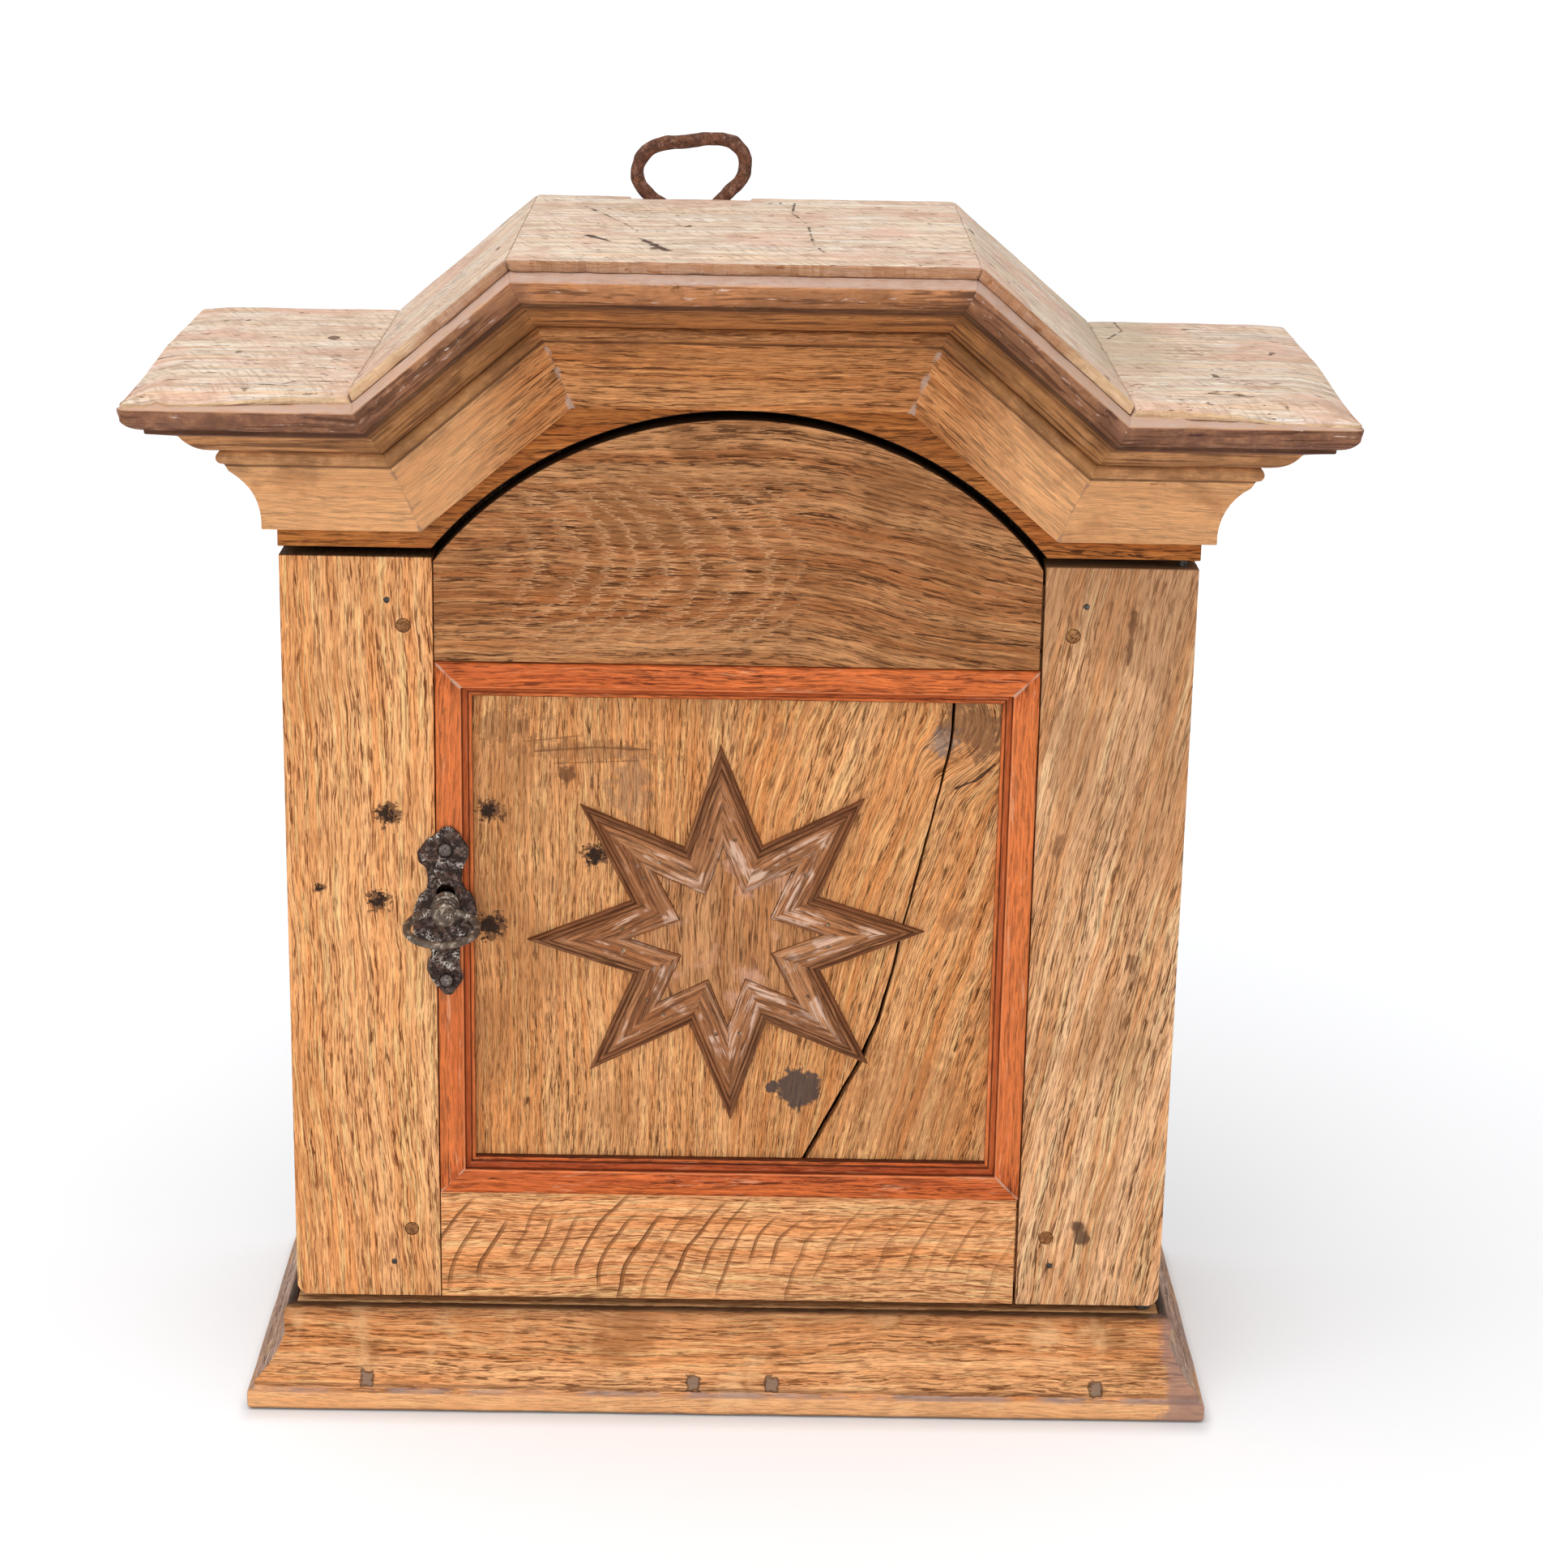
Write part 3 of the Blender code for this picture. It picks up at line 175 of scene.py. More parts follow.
def oak(name, light, mid, dark, pith=(0.25, 0.0), slits=0.95, bend=None, pore=1.0, warm=0.55):
    """Oak from a plank whose trunk's heart lies at pith, across and behind it.

    Each yearly ring starts with a band of wide pores, which show as slits along the grain.
    Bend gives a shift across the plank, where its grain runs round a knot or out of true.
    A greater pore gives finer slits, and warm is the share of its amber streaks.
    """
    coat = Coat(name)
    bare, grain = coat.bare, coat.grain
    along, outward = grain.part("Z"), grain.part("Y")
    sway = (grain.cloud((6, 6, 4)) - 0.5) * 0.026
    ripple = (grain.cloud((45, 45, 24)) - 0.5) * 0.004
    across = grain.part("X") + sway + ripple
    if bend:
        across = across + bend(coat)
    bent = bare.point(X=across, Y=outward, Z=along)
    heart = bare.point(X=across + pith[0], Y=outward + pith[1])
    wobble = bent.cloud((150, 150, 26)) * (0.9 * RING)
    year = (heart.length() + wobble) * (1 / RING)
    early = year.fraction().ramp(0.75, 0.10)
    flame = bent.cloud((60, 60, 2.2), 3).ramp(0.34, 0.66)
    amber_streak = bent.cloud((130, 130, 4), 3, 0.6).ramp(0.45, 0.62)
    fibre = bent.cloud((1300, 1300, 45)).ramp(0.42, 0.66)
    sheen = bent.cloud((420, 420, 18)).ramp(0.50, 0.68)
    streak = bent.cloud((300, 300, 13), 3, 0.6).ramp(0.50, 0.62)
    cells = bent.cloud((1050 * pore, 1050 * pore, 72 * pore), 2, 0.6)
    cluster = bent.cloud((190, 190, 9), 3, 0.6).ramp(0.40, 0.60)
    slit = cells.ramp(0.500, 0.560) * (cluster * 0.40 + early * 0.30 + 0.30)
    speck = bent.cloud((2600, 2600, 190), 1).ramp(0.50, 0.64)
    amber = [mid[0], 0.80 * mid[1], 0.58 * mid[2], 1.0]
    coat.colour = bare.mix(light, mid, flame)
    coat.cover(amber, amber_streak * warm)
    coat.cover(scaled(light, 1.28), sheen * 0.56)
    coat.cover(dark, streak * 0.12)
    coat.cover(dark, fibre * 0.30 + early * 0.14 + cluster * 0.14)
    coat.cover(dark, speck * (0.24 * slits))
    coat.cover(scaled(dark, 0.55), slit * slits)
    coat.height = 1.0 - slit * 0.7 - speck * 0.3
    coat.roughness = 0.56 + slit * 0.20 + flame * 0.06
    coat.bent, coat.cells = bent, cells
    return coat


def lay_on(coat, depth=0.0002, strength=0.5):
    """Joins a coat to its shader. Its height shows as relief of so many metres."""
    shader = coat.finish.node_tree.nodes["Principled BSDF"]
    values = {"Strength": strength, "Distance": depth, "Height": coat.height}
    relief = coat.bare.node("ShaderNodeBump", links=values, output="Normal")
    coat.bare.feed(coat.colour, shader.inputs["Base Color"])
    coat.bare.feed(coat.roughness, shader.inputs["Roughness"])
    coat.bare.feed(relief, shader.inputs["Normal"])
    shader.inputs["Specular IOR Level"].default_value = GLOSS
    return coat.finish


def blotch(coat, size, colour, share, low=0.52, high=0.70):
    """Cloudy patches of another tone, about size metres across."""
    patch = coat.place.cloud((1 / size, 1 / size, 1 / size), 4, 0.6)
    coat.cover(colour, patch.ramp(low, high) * share)


def gap_shade_and_dirt(coat, reach, low, high, share=0.84):
    """Black where a distance passes from low to high: painted shade in the door's gaps, dirt in back seams.
    """
    coat.cover(paint(16, 11, 8), reach.ramp(low, high) * share)


def take_up(piece):
    """Leaves only this piece selected and active."""
    bpy.ops.object.select_all(action="DESELECT")
    piece.select_set(True)
    bpy.context.view_layer.objects.active = piece


def edit(piece):
    """Opens a piece for editing, with all of it selected."""
    take_up(piece)
    bpy.ops.object.mode_set(mode="EDIT")
    bpy.ops.mesh.select_all(action="SELECT")


def shaped_copy(node, name):
    """A piece that starts as the plain solid, with its triangles merged into whole faces."""
    piece = bpy.data.objects.new(name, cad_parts[node].data.copy())
    bpy.context.collection.objects.link(piece)
    piece.data.name = name
    take_up(piece)
    bpy.ops.mesh.customdata_custom_splitnormals_clear()
    edit(piece)
    bpy.ops.mesh.remove_doubles(threshold=0.00002)
    bpy.ops.mesh.dissolve_limited(angle_limit=math.radians(0.4))
    bpy.ops.object.mode_set(mode="OBJECT")
    return piece


def ease(piece, width, least=LEAST_EDGE):
    """Takes the sharpness off the outer edges, as planing and wear do."""
    edit(piece)
    bpy.ops.mesh.select_mode(type="EDGE")
    bpy.ops.mesh.select_all(action="DESELECT")
    shape = bmesh.from_edit_mesh(piece.data)
    for edge in shape.edges:
        sharp = edge.is_convex and edge.calc_face_angle(0.0) > 0.6
        edge.select_set(sharp and edge.calc_length() > least)
    bmesh.update_edit_mesh(piece.data)
    bpy.ops.mesh.bevel(offset=width, segments=2, affect="EDGES", clamp_overlap=True)
    bpy.ops.object.mode_set(mode="OBJECT")


def eased_copy(node, manner, width, least=LEAST_EDGE):
    """The plain solid as a new piece with eased edges, named after the way it was made."""
    piece = shaped_copy(node, f"{node}_{manner}")
    ease(piece, width, least)
    return piece


def lay_grain(piece, along, depth, seed, start=(0, 0, 0)):
    """Notes where each point lies in its plank: across it, outward from it and along its grain."""
    along, depth, start = Vector(along).normalized(), Vector(depth), Vector(start)
    across = depth.cross(along)
    values = []
    for vert in piece.data.vertices:
        offset = vert.co - start
        values += [offset.dot(across), offset.dot(depth), offset.dot(along) + SEED_STEP * seed]
    grain = piece.data.attributes.new("grain", "FLOAT_VECTOR", "POINT")
    grain.data.foreach_set("vector", values)


def settle(piece, body, slot, finish, *nodes):
    """Finishes a piece, lets it move with its body and stand for its plain solids."""
    piece.data.materials.clear()
    piece.data.materials.append(finish)
    take_up(piece)
    bpy.ops.object.shade_smooth_by_angle(angle=math.radians(32))
    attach(piece, body)
    if nodes:
        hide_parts(*nodes)


def plank(node, body, slot, finish, along, depth, seed, width=EASED):
    """A sawn board: the plain solid with eased edges and its grain."""
    board = eased_copy(node, "board", width)
    lay_grain(board, along, depth, seed)
    settle(board, body, slot, finish, node)
    return board


side_oak = oak("side_oak", paint(214, 154, 100), paint(190, 130, 78), paint(110, 66, 34))
blotch(side_oak, 0.09, paint(150, 100, 66), 0.45)
side_finish = lay_on(side_oak)
for seed, side in enumerate(("side_left", "side_right"), 1):
    plank(side, "case", "honey_oak", side_finish, UPWARD, RIGHTWARD, seed)


# Bottom board and shelf: two level oak boards let into housings in the sides.
# They were never waxed, so they are paler and dustier than the front.

inner_oak = oak("inner_oak", paint(210, 164, 116), paint(188, 138, 92), paint(118, 78, 46), (0.02, 0.05))
blotch(inner_oak, 0.07, paint(150, 112, 80), 0.4)
inner_finish = lay_on(inner_oak)
for seed, board in enumerate(("bottom_board", "shelf"), 3):
    plank(board, "case", "honey_oak", inner_finish, RIGHTWARD, UPWARD, seed)


# Plinth rail: a plain length of oak behind the base moulding, glued under the bottom board.
# Only its edges show, when the door is open or from below.

plank("plinth_rail", "case", "brown_oak", inner_finish, RIGHTWARD, FORWARD, 5)


# Back boards: three upright boards nailed to the sides, left rough from the saw.
# They are grey with dust, rusty round the nails, and the middle one is cut out for the hanging loop.

NAIL_ROW = 0.2625
NAIL_STEP = 0.125
ROUGH_EASED = 0.0012


def saw_marks(coat, count, share, colour):
    """Uneven ridges that the saw left across the plank, a little aslant, so many to the metre."""
    across = coat.grain.part("X")
    aslant = (coat.grain.part("Z") + across * 0.35) * count
    strokes = coat.bare.point(X=across * 40, Z=aslant).cloud((1, 1, 1))
    broken = coat.grain.cloud((50, 50, 30), 3).ramp(0.40, 0.60)
    ridge = strokes.ramp(0.48, 0.64) * (broken * 0.7 + 0.3)
    coat.height = coat.height - ridge * 0.8
    coat.cover(colour, ridge * share)


back_oak = oak("back_oak", paint(206, 178, 150), paint(180, 150, 122), paint(116, 86, 62), (0.01, 0.06))
saw_marks(back_oak, 260, 0.30, paint(150, 122, 98))
blotch(back_oak, 0.12, paint(140, 116, 98), 0.5)
seam_left, seam_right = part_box("back_board_middle")
back_x = back_oak.place.part("X")
to_seam = abs(back_x - seam_left.x).least(abs(back_x - seam_right.x))
gap_shade_and_dirt(back_oak, to_seam, 0.0018, 0.0008, 0.85)
nail_aside = abs(abs(back_x) - NAIL_ROW)
nail_above = ((back_oak.place.part("Z") * (1 / NAIL_STEP)).fraction() - 0.5) * NAIL_STEP
to_nail = nail_aside.hypotenuse(nail_above)
back_oak.cover(paint(104, 70, 50), to_nail.ramp(0.012, 0.003) * 0.5)
back_oak.cover(paint(58, 40, 32), to_nail.ramp(0.0042, 0.0032) * 0.9)
back_oak.height = back_oak.height + to_nail.ramp(0.0044, 0.0026)
back_finish = lay_on(back_oak, 0.0006)
for seed, side in enumerate(("left", "middle", "right"), 6):
    plank(f"back_board_{side}", "case", "dusty_oak", back_finish, UPWARD, FORWARD, seed, ROUGH_EASED)


# Frieze board: one wide oak board cut out below to the arch of the door.
# The cornice is nailed over it, and only a narrow band shows between arch and cove.

ARCH_CENTRE = Vector((0, 0, 0.3992))
ARCH_RADIUS = 0.2363
FRIEZE_FOOT = 0.5507
FRONT_EASED = 0.0006


def from_arch_centre(coat):
    """How far a point lies from the axis of the door's arch."""
    return coat.place.vector("SUBTRACT", ARCH_CENTRE).vector("MULTIPLY", (1, 0, 1)).length()


frieze_oak = oak("frieze_oak", paint(188, 118, 58), paint(166, 97, 44), paint(88, 46, 20), (-0.90, 0.0))
blotch(frieze_oak, 0.05, paint(128, 78, 44), 0.5)
# Black along the arch and along the frieze's foot: painted shade in the gaps over the door.
gap_shade_and_dirt(frieze_oak, from_arch_centre(frieze_oak), ARCH_RADIUS + 0.0007, ARCH_RADIUS + 0.0002)
gap_shade_and_dirt(frieze_oak, frieze_oak.place.part("Z"), FRIEZE_FOOT + 0.0005, FRIEZE_FOOT)
frieze_finish = lay_on(frieze_oak)
plank("frieze_board", "case", "honey_oak", frieze_finish, RIGHTWARD, FORWARD, 9, FRONT_EASED)


# Cornice: one oak moulding in seven mitred lengths, with a cove, a bead, an ovolo and a nose.
# It rises in the middle to a hood over the arch, and its mitres are stopped with grey filler.

CORNICE_LENGTHS = ("return_left", "flat_left", "rake_left", "top", "rake_right", "flat_right", "return_right")
CORNICE_EDGE = 0.2726
CORNICE_FACE = -0.0728
CORNICE_FOOT = 0.562
HOOD_FOOT = 0.637
WALL = 0.1505
FLAT_MITRE = 0.187
HOOD_MITRE = 0.0985
MITRE_GAP = 0.00004
NOISE_SEED = 5
SLICE = 0.006
CORNER_SIDE = 0.3425
CORNER_FRONT = -0.1427


def bow(start, end, depth, steps=8):
    """Points of a curve from start to end that bulges by depth to the left of the way."""
    first, last = Vector(start), Vector(end)
    chord = last - first
    side = Vector((-chord.y, chord.x)).normalized() * depth
    shares = [i / steps for i in range(steps + 1)]
    return [first + chord * share + side * (4 * share * (1 - share)) for share in shares]


def half_round(centre, radius, steps=8):
    """Points of a bead from its foot to its head."""
    turns = [math.pi * (i / steps - 0.5) for i in range(steps + 1)]
    return [Vector(centre) + radius * Vector((math.cos(turn), math.sin(turn))) for turn in turns]


def worn(profile, radius):
    """The profile with its sharp corners rounded over."""
    corners = [Vector(point) for point in profile]
    line = []
    for i, corner in enumerate(corners):
        before, after = corners[i - 1] - corner, corners[(i + 1) % len(corners)] - corner
        if before.angle(after, math.pi) > math.radians(158):
            line.append(corner)
            continue
        reach = min(radius, before.length * 0.4, after.length * 0.4)
        first, last = corner + before.normalized() * reach, corner + after.normalized() * reach
        line += [first, (first + last + corner * 2) / 4, last]
    return line


def pushed_out(name, outline, push):
    """A flat face through the points of an outline, pushed out to a solid and left open for editing."""
    bpy.ops.object.select_all(action="DESELECT")
    bpy.ops.mesh.primitive_circle_add(vertices=len(outline), fill_type="NGON")
    piece = bpy.context.object
    piece.name = piece.data.name = name
    for vert, point in zip(piece.data.vertices, outline):
        vert.co = point
    edit(piece)
    bpy.ops.mesh.extrude_region_move(TRANSFORM_OT_translate={"value": push})
    return piece


def close_up():
    """Turns all the faces of the piece that is open outward, and ends its editing."""
    bpy.ops.mesh.select_all(action="SELECT")
    bpy.ops.mesh.normals_make_consistent(inside=False)
    bpy.ops.object.mode_set(mode="OBJECT")


def moulded_run(name, profile, start, end, outward, ends):
    """A length of moulding: the profile is drawn square to the run, pushed along it and sawn at its ends.

    Each of the ends is a point and the way out of the run there.
    """
    along = (end - start).normalized()
    up = outward.cross(along)
    reach = 2 * max(max(point) for point in profile)
    origin = start - along * reach
    whole = (end - start).length + 2 * reach
    outline = [origin + up * height + outward * out for out, height in profile]
    piece = pushed_out(name, outline, along * whole)
    for corner, leaving in ends:
        bpy.ops.mesh.select_all(action="SELECT")
        bpy.ops.mesh.bisect(plane_co=corner, plane_no=leaving, use_fill=True, clear_outer=True)
    count = int(whole / SLICE)
    for i in range(1, count):
        bpy.ops.mesh.select_all(action="SELECT")
        bpy.ops.mesh.bisect(plane_co=origin + along * whole * (i / count), plane_no=along)
    close_up()
    return piece


noise.seed_set(NOISE_SEED)


def roughen(piece, node, depth, size, spare=0.0):
    """Small unevenness of hand work, about size metres long, kept to the solid's box and a spare edge."""
    low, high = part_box(node)
    for vert in piece.data.vertices:
        moved = vert.co + noise.noise_vector(vert.co / size) * depth
        vert.co = [min(max(moved[i], low[i] - spare), high[i] + spare) for i in range(3)]


def run_mouldings(nodes, profile, corners, uneven, seed, shape=None, closed=False):
    """Mitred lengths of moulding along a line of corners, with their grain.

    Uneven is the depth and size of their roughness. Shape works on each length before that.
    """
    corners = [Vector(corner) for corner in corners]
    count = len(nodes)
    if closed:
        corners.append(corners[0])
    ways = [(corners[i + 1] - corners[i]).normalized() for i in range(count)]
    lengths = []
    for i, node in enumerate(nodes):
        start, end, way = corners[i], corners[i + 1], ways[i]
        outward = FORWARD if abs(way.y) < 0.5 else Vector((way.y, 0, 0))
        first = -way - ways[i - 1] if i or closed else -way
        last = way + ways[(i + 1) % count] if i + 1 < count or closed else way
        ends = []
        for corner, leaving in ((start, first.normalized()), (end, last.normalized())):
            ends.append((corner - leaving * MITRE_GAP, leaving))
        piece = moulded_run(node + "_run", profile, start, end, outward, ends)
        length = SimpleNamespace(node=node, piece=piece, start=start, outward=outward)
        if shape:
            shape(length)
        roughen(piece, node, *uneven)
        lay_grain(piece, way, outward, seed + i, start)
        lengths.append(length)
    return lengths


def knock_corners(piece, radius):
    """Rounds off whatever stands out at the two front corners of the cornice."""
    for vert in piece.data.vertices:
        aside = max(0.0, abs(vert.co.x) - CORNER_SIDE)
        ahead = max(0.0, CORNER_FRONT - vert.co.y)
        excess = 1 - radius / max(radius, math.hypot(aside, ahead))
        vert.co.x -= math.copysign(aside * excess, vert.co.x)
        vert.co.y += ahead * excess


def wear_cornice(length):
    """Small breaks along the nose, where it stands out furthest, and rounded corners."""
    for vert in length.piece.data.vertices:
        out = (vert.co - length.start).dot(length.outward)
        bite = noise.noise(vert.co * 75) - 0.22
        if out > 0.066 and bite > 0:
            vert.co -= length.outward * min(bite * 0.008, 0.0022)
    knock_corners(length.piece, 0.0078)


cornice_profile = [(0, 0)] + bow((0.0076, 0), (0.0234, 0.038), 0.005)
cornice_profile += half_round((0.0255, 0.0467), 0.0042)
cornice_profile += bow((0.0255, 0.0515), (0.048, 0.063), -0.00375)
cornice_profile += [(0.064, 0.067), (0.064, 0.0698)]
cornice_profile += bow((0.066, 0.0698), (0.0777, 0.083), -0.0029)
cornice_profile += [(0.0665, 0.087), (0, 0.087)]
right_corners = [(HOOD_MITRE, CORNICE_FACE, HOOD_FOOT), (FLAT_MITRE, CORNICE_FACE, CORNICE_FOOT),
                 (CORNICE_EDGE, CORNICE_FACE, CORNICE_FOOT), (CORNICE_EDGE, WALL, CORNICE_FOOT)]
cornice_corners = [(-x, y, z) for x, y, z in right_corners[::-1]] + right_corners

cornice_oak = oak("cornice_oak", paint(216, 151, 95), paint(192, 126, 73), paint(100, 56, 28))
sideways = abs(cornice_oak.place.part("X"))
cornice_oak.cover(paint(250, 196, 142), sideways.ramp(0.115, 0.17) * 0.36)
blotch(cornice_oak, 0.035, paint(128, 78, 44), 0.32, 0.54, 0.68)
height_up = cornice_oak.grain.part("X")
mottle = cornice_oak.place.cloud((120, 120, 120), 4, 0.65)


def cornice_band(low, high, colour, share, patchy=0.35, where=1.0):
    """Tones the moulding between two heights of its profile, or only where another value allows."""
    strength = height_up.between(low, high, 0.0008) * (mottle.ramp(0.25, 0.65) * patchy + (share - patchy))
    cornice_oak.cover(colour, strength * where)


raking = sideways.between(0.120, 0.213, 0.006)
# The bead's band and the band under the nose are darkened as painted shade, below the ovolo and the nose.
cornice_band(0.0425, 0.0512, paint(128, 82, 48), 0.50)
cornice_band(0.0515, 0.0630, paint(160, 104, 60), 0.60)
cornice_band(0.0630, 0.0694, paint(128, 82, 52), 0.75)
cornice_band(0.0694, 0.0826, paint(186, 128, 88), 0.85, 0.6)
cornice_band(0.0640, 0.0828, paint(96, 64, 58), 0.80, 0.30, sideways.ramp(0.19, 0.21))
cornice_band(0.0694, 0.0826, paint(118, 80, 62), 0.75, 0.30, raking)
cornice_band(0.0425, 0.0692, paint(140, 98, 54), 0.55, 0.35, raking)
patina = cornice_oak.place.cloud((24, 24, 24), 4, 0.62).ramp(0.48, 0.60)
cornice_oak.cover(paint(88, 56, 36), patina * height_up.between(0.036, 0.083, 0.006) * 0.36)
# Grey on the slope behind the nose: dust, and painted light from above.
cornice_band(0.0830, 0.0900, paint(186, 159, 145), 0.92)
dark_streak = cornice_oak.bent.cloud((260, 260, 14), 3, 0.6).ramp(0.50, 0.62)
cornice_oak.cover(paint(70, 42, 30), dark_streak * height_up.between(0.0520, 0.0825, 0.0005) * 0.70)
pale_fleck = cornice_oak.grain.cloud((420, 420, 60), 3, 0.7).ramp(0.62, 0.72)
cornice_oak.cover(paint(212, 188, 176), pale_fleck * height_up.ramp(0.066, 0.070) * 0.75)
# Dark lines in the quirk below the bead and in the fillet under the nose: painted shade in the creases.
quirk_line = height_up.between(0.0410, 0.0426, 0.0004) + height_up.between(0.0668, 0.0697, 0.0003)
cornice_oak.cover(paint(62, 36, 22), quirk_line * 0.7)


def score(coat, points, width, colour, share=0.9, depth=1.5):
    """A crack or scratch through these points of the object, with ragged sides."""
    jitter = coat.place.cloud((110, 110, 110), 3)
    nearest = None
    for start, end in zip(points, points[1:]):
        start, way = Vector(start), Vector(end) - Vector(start)
        offset = coat.place.vector("SUBTRACT", start)
        share_along = offset.vector("DOT_PRODUCT", way / way.length_squared, "Value")
        held = coat.bare.node("ShaderNodeClamp", links={"Value": share_along})
        foot = coat.bare.node("ShaderNodeVectorMath", {"operation": "SCALE"}, {0: way, "Scale": held})
        apart = offset.vector("DISTANCE", foot, "Value")
        nearest = apart if nearest is None else nearest.least(apart)
    gap = (nearest + (jitter - 0.5) * (2.2 * width)).ramp(width, width * 0.35)
    coat.cover(colour, gap * share)
    coat.height = coat.height - gap * depth


def mitre_line(hand, corner, foot):
    """Three points up the cove along a mitre of the hood."""
    cove = ((0.0, 0.0076), (0.019, 0.0112), (0.0380, 0.0234))
    return [(hand * (corner + 0.3667 * rise), CORNICE_FACE - out, foot + rise) for rise, out in cove]


for hand in (-1, 1):
    score(cornice_oak, mitre_line(hand, HOOD_MITRE, HOOD_FOOT), 0.0024, paint(176, 152, 138), 0.70, 0.3)
    score(cornice_oak, mitre_line(hand, FLAT_MITRE, CORNICE_FOOT), 0.0018, paint(150, 116, 94), 0.65, 0.3)
for left, right, y, z, width, tone in ((0.233, 0.243, -0.0845, 0.577, 0.0018, paint(84, 50, 34)),
                                       (0.238, 0.246, -0.0980, 0.601, 0.0018, paint(84, 50, 34)),
                                       (0.252, 0.261, -0.1495, 0.641, 0.0022, paint(66, 40, 42))):
    score(cornice_oak, [(left, y, z), (right, y, z)], width, tone, 0.8, 0.5)
cornice_finish = lay_on(cornice_oak)

cornice_nodes = [f"cornice_{length}" for length in CORNICE_LENGTHS]
cornice_line = worn(cornice_profile, 0.0009)
for length in run_mouldings(cornice_nodes, cornice_line, cornice_corners, (0.0003, 0.02), 10, wear_cornice):
    settle(length.piece, "case", "honey_oak", cornice_finish, length.node)


# Roof boards: five thin boards, rough from the saw and never waxed, nailed on the cornice.
# They are dusty, with shakes, old nail holes and splintered fronts, and worn thin at the outer ends.

ROOF_END = 0.3388
ROOF_FRONT = -0.139
HOOD_TOP = 0.731
FLAT_TOP = 0.656
ROOF_GRID = 0.0055
RISING = Vector((0.763, 0, 0.6465))
FALLING = Vector((0.763, 0, -0.6465))
ROOF_WAYS = {"flat_left": RIGHTWARD, "slope_left": RISING, "top": RIGHTWARD, "slope_right": FALLING,
             "flat_right": RIGHTWARD}
ROOF_SHAKES = (
    (HOOD_TOP, 0.0011, 0.90, ((0.031, 0.128), (0.029, 0.08), (0.038, 0.03), (0.040, -0.05), (0.046, -0.088))),
    (HOOD_TOP, 0.0010, 0.90, ((-0.100, 0.10), (-0.075, 0.03), (-0.060, -0.02))),
    (HOOD_TOP, 0.0030, 0.95, ((-0.092, -0.030), (-0.078, -0.055))),
    (HOOD_TOP, 0.0034, 0.95, ((-0.060, -0.042), (-0.044, -0.088))),
    (FLAT_TOP, 0.0013, 0.90, ((-0.330, -0.124), (-0.290, -0.118), (-0.262, -0.120), (-0.255, -0.108),
                              (-0.225, -0.108))),
    (FLAT_TOP, 0.0012, 0.90, ((0.238, 0.145), (0.240, 0.115), (0.228, 0.085))),
    (FLAT_TOP, 0.0019, 0.90, ((0.268, -0.098), (0.292, -0.106))),
)

roof_oak = oak("roof_oak", paint(255, 244, 224), paint(250, 226, 202), paint(176, 138, 110), slits=0.50)
saw_marks(roof_oak, 420, 0.42, paint(160, 122, 94))
blotch(roof_oak, 0.06, paint(226, 178, 156), 0.60, 0.46, 0.64)
blotch(roof_oak, 0.03, paint(180, 150, 122), 0.45, 0.52, 0.68)
chips = roof_oak.grain.cloud((190, 190, 90), 3, 0.6).ramp(0.640, 0.670)
roof_oak.cover(paint(112, 78, 54), chips * 0.8)
roof_x = roof_oak.place.part("X")
grey_dust = roof_x.between(0.20, 0.262, 0.02) * roof_oak.place.part("Y").ramp(-0.11, 0.02)
roof_oak.cover(paint(190, 172, 146), grey_dust * 0.55)
for level, width, share, way in ROOF_SHAKES:
    score(roof_oak, [(x, y, level) for x, y in way], width, paint(66, 42, 28), share)
gouge = roof_oak.place.cloud((70, 34, 70)).ramp(0.715, 0.735)
roof_oak.cover(paint(92, 62, 42), gouge * 0.85)
roof_oak.height = roof_oak.height - gouge * 1.5
front_edge = roof_oak.grain.part("X").ramp(-0.1374, -0.1384)
edge_tone = roof_oak.bare.mix(paint(156, 100, 56), paint(206, 170, 128), abs(roof_x).ramp(0.17, 0.20))
roof_oak.cover(edge_tone, front_edge * 0.75)
roof_finish = lay_on(roof_oak, 0.0009, 0.7)


def slice_up(piece, ways, step):
    """Cuts a board's faces into a grid, so that its surface can be made uneven."""
    edit(piece)
    for way in ways:
        reach = [vert.co.dot(way) for vert in bmesh.from_edit_mesh(piece.data).verts]
        low, high = min(reach), max(reach)
        for i in range(1, int((high - low) / step)):
            bpy.ops.mesh.select_all(action="SELECT")
            bpy.ops.mesh.bisect(plane_co=way * (low + i * step), plane_no=way)
    bpy.ops.object.mode_set(mode="OBJECT")


def splinter_front(board, front_y):
    """Splinters missing along the front of a roof board, and an uneven top."""
    for vert in board.data.vertices:
        front = max(0.0, 1 - (vert.co.y - front_y) / 0.012)
        splinter = max(0.0, noise.noise(vert.co * 95) - 0.10)
        sunk = 0.5 + 0.5 * noise.noise(vert.co * 45)
        vert.co.y += front * splinter * 0.007
        vert.co.z -= sunk * 0.0009 * (1 - front)


def share_past(value, start, end):
    """How far a value has gone from start to end, from 0 to 1."""
    return min(max((value - start) / (end - start), 0.0), 1.0)


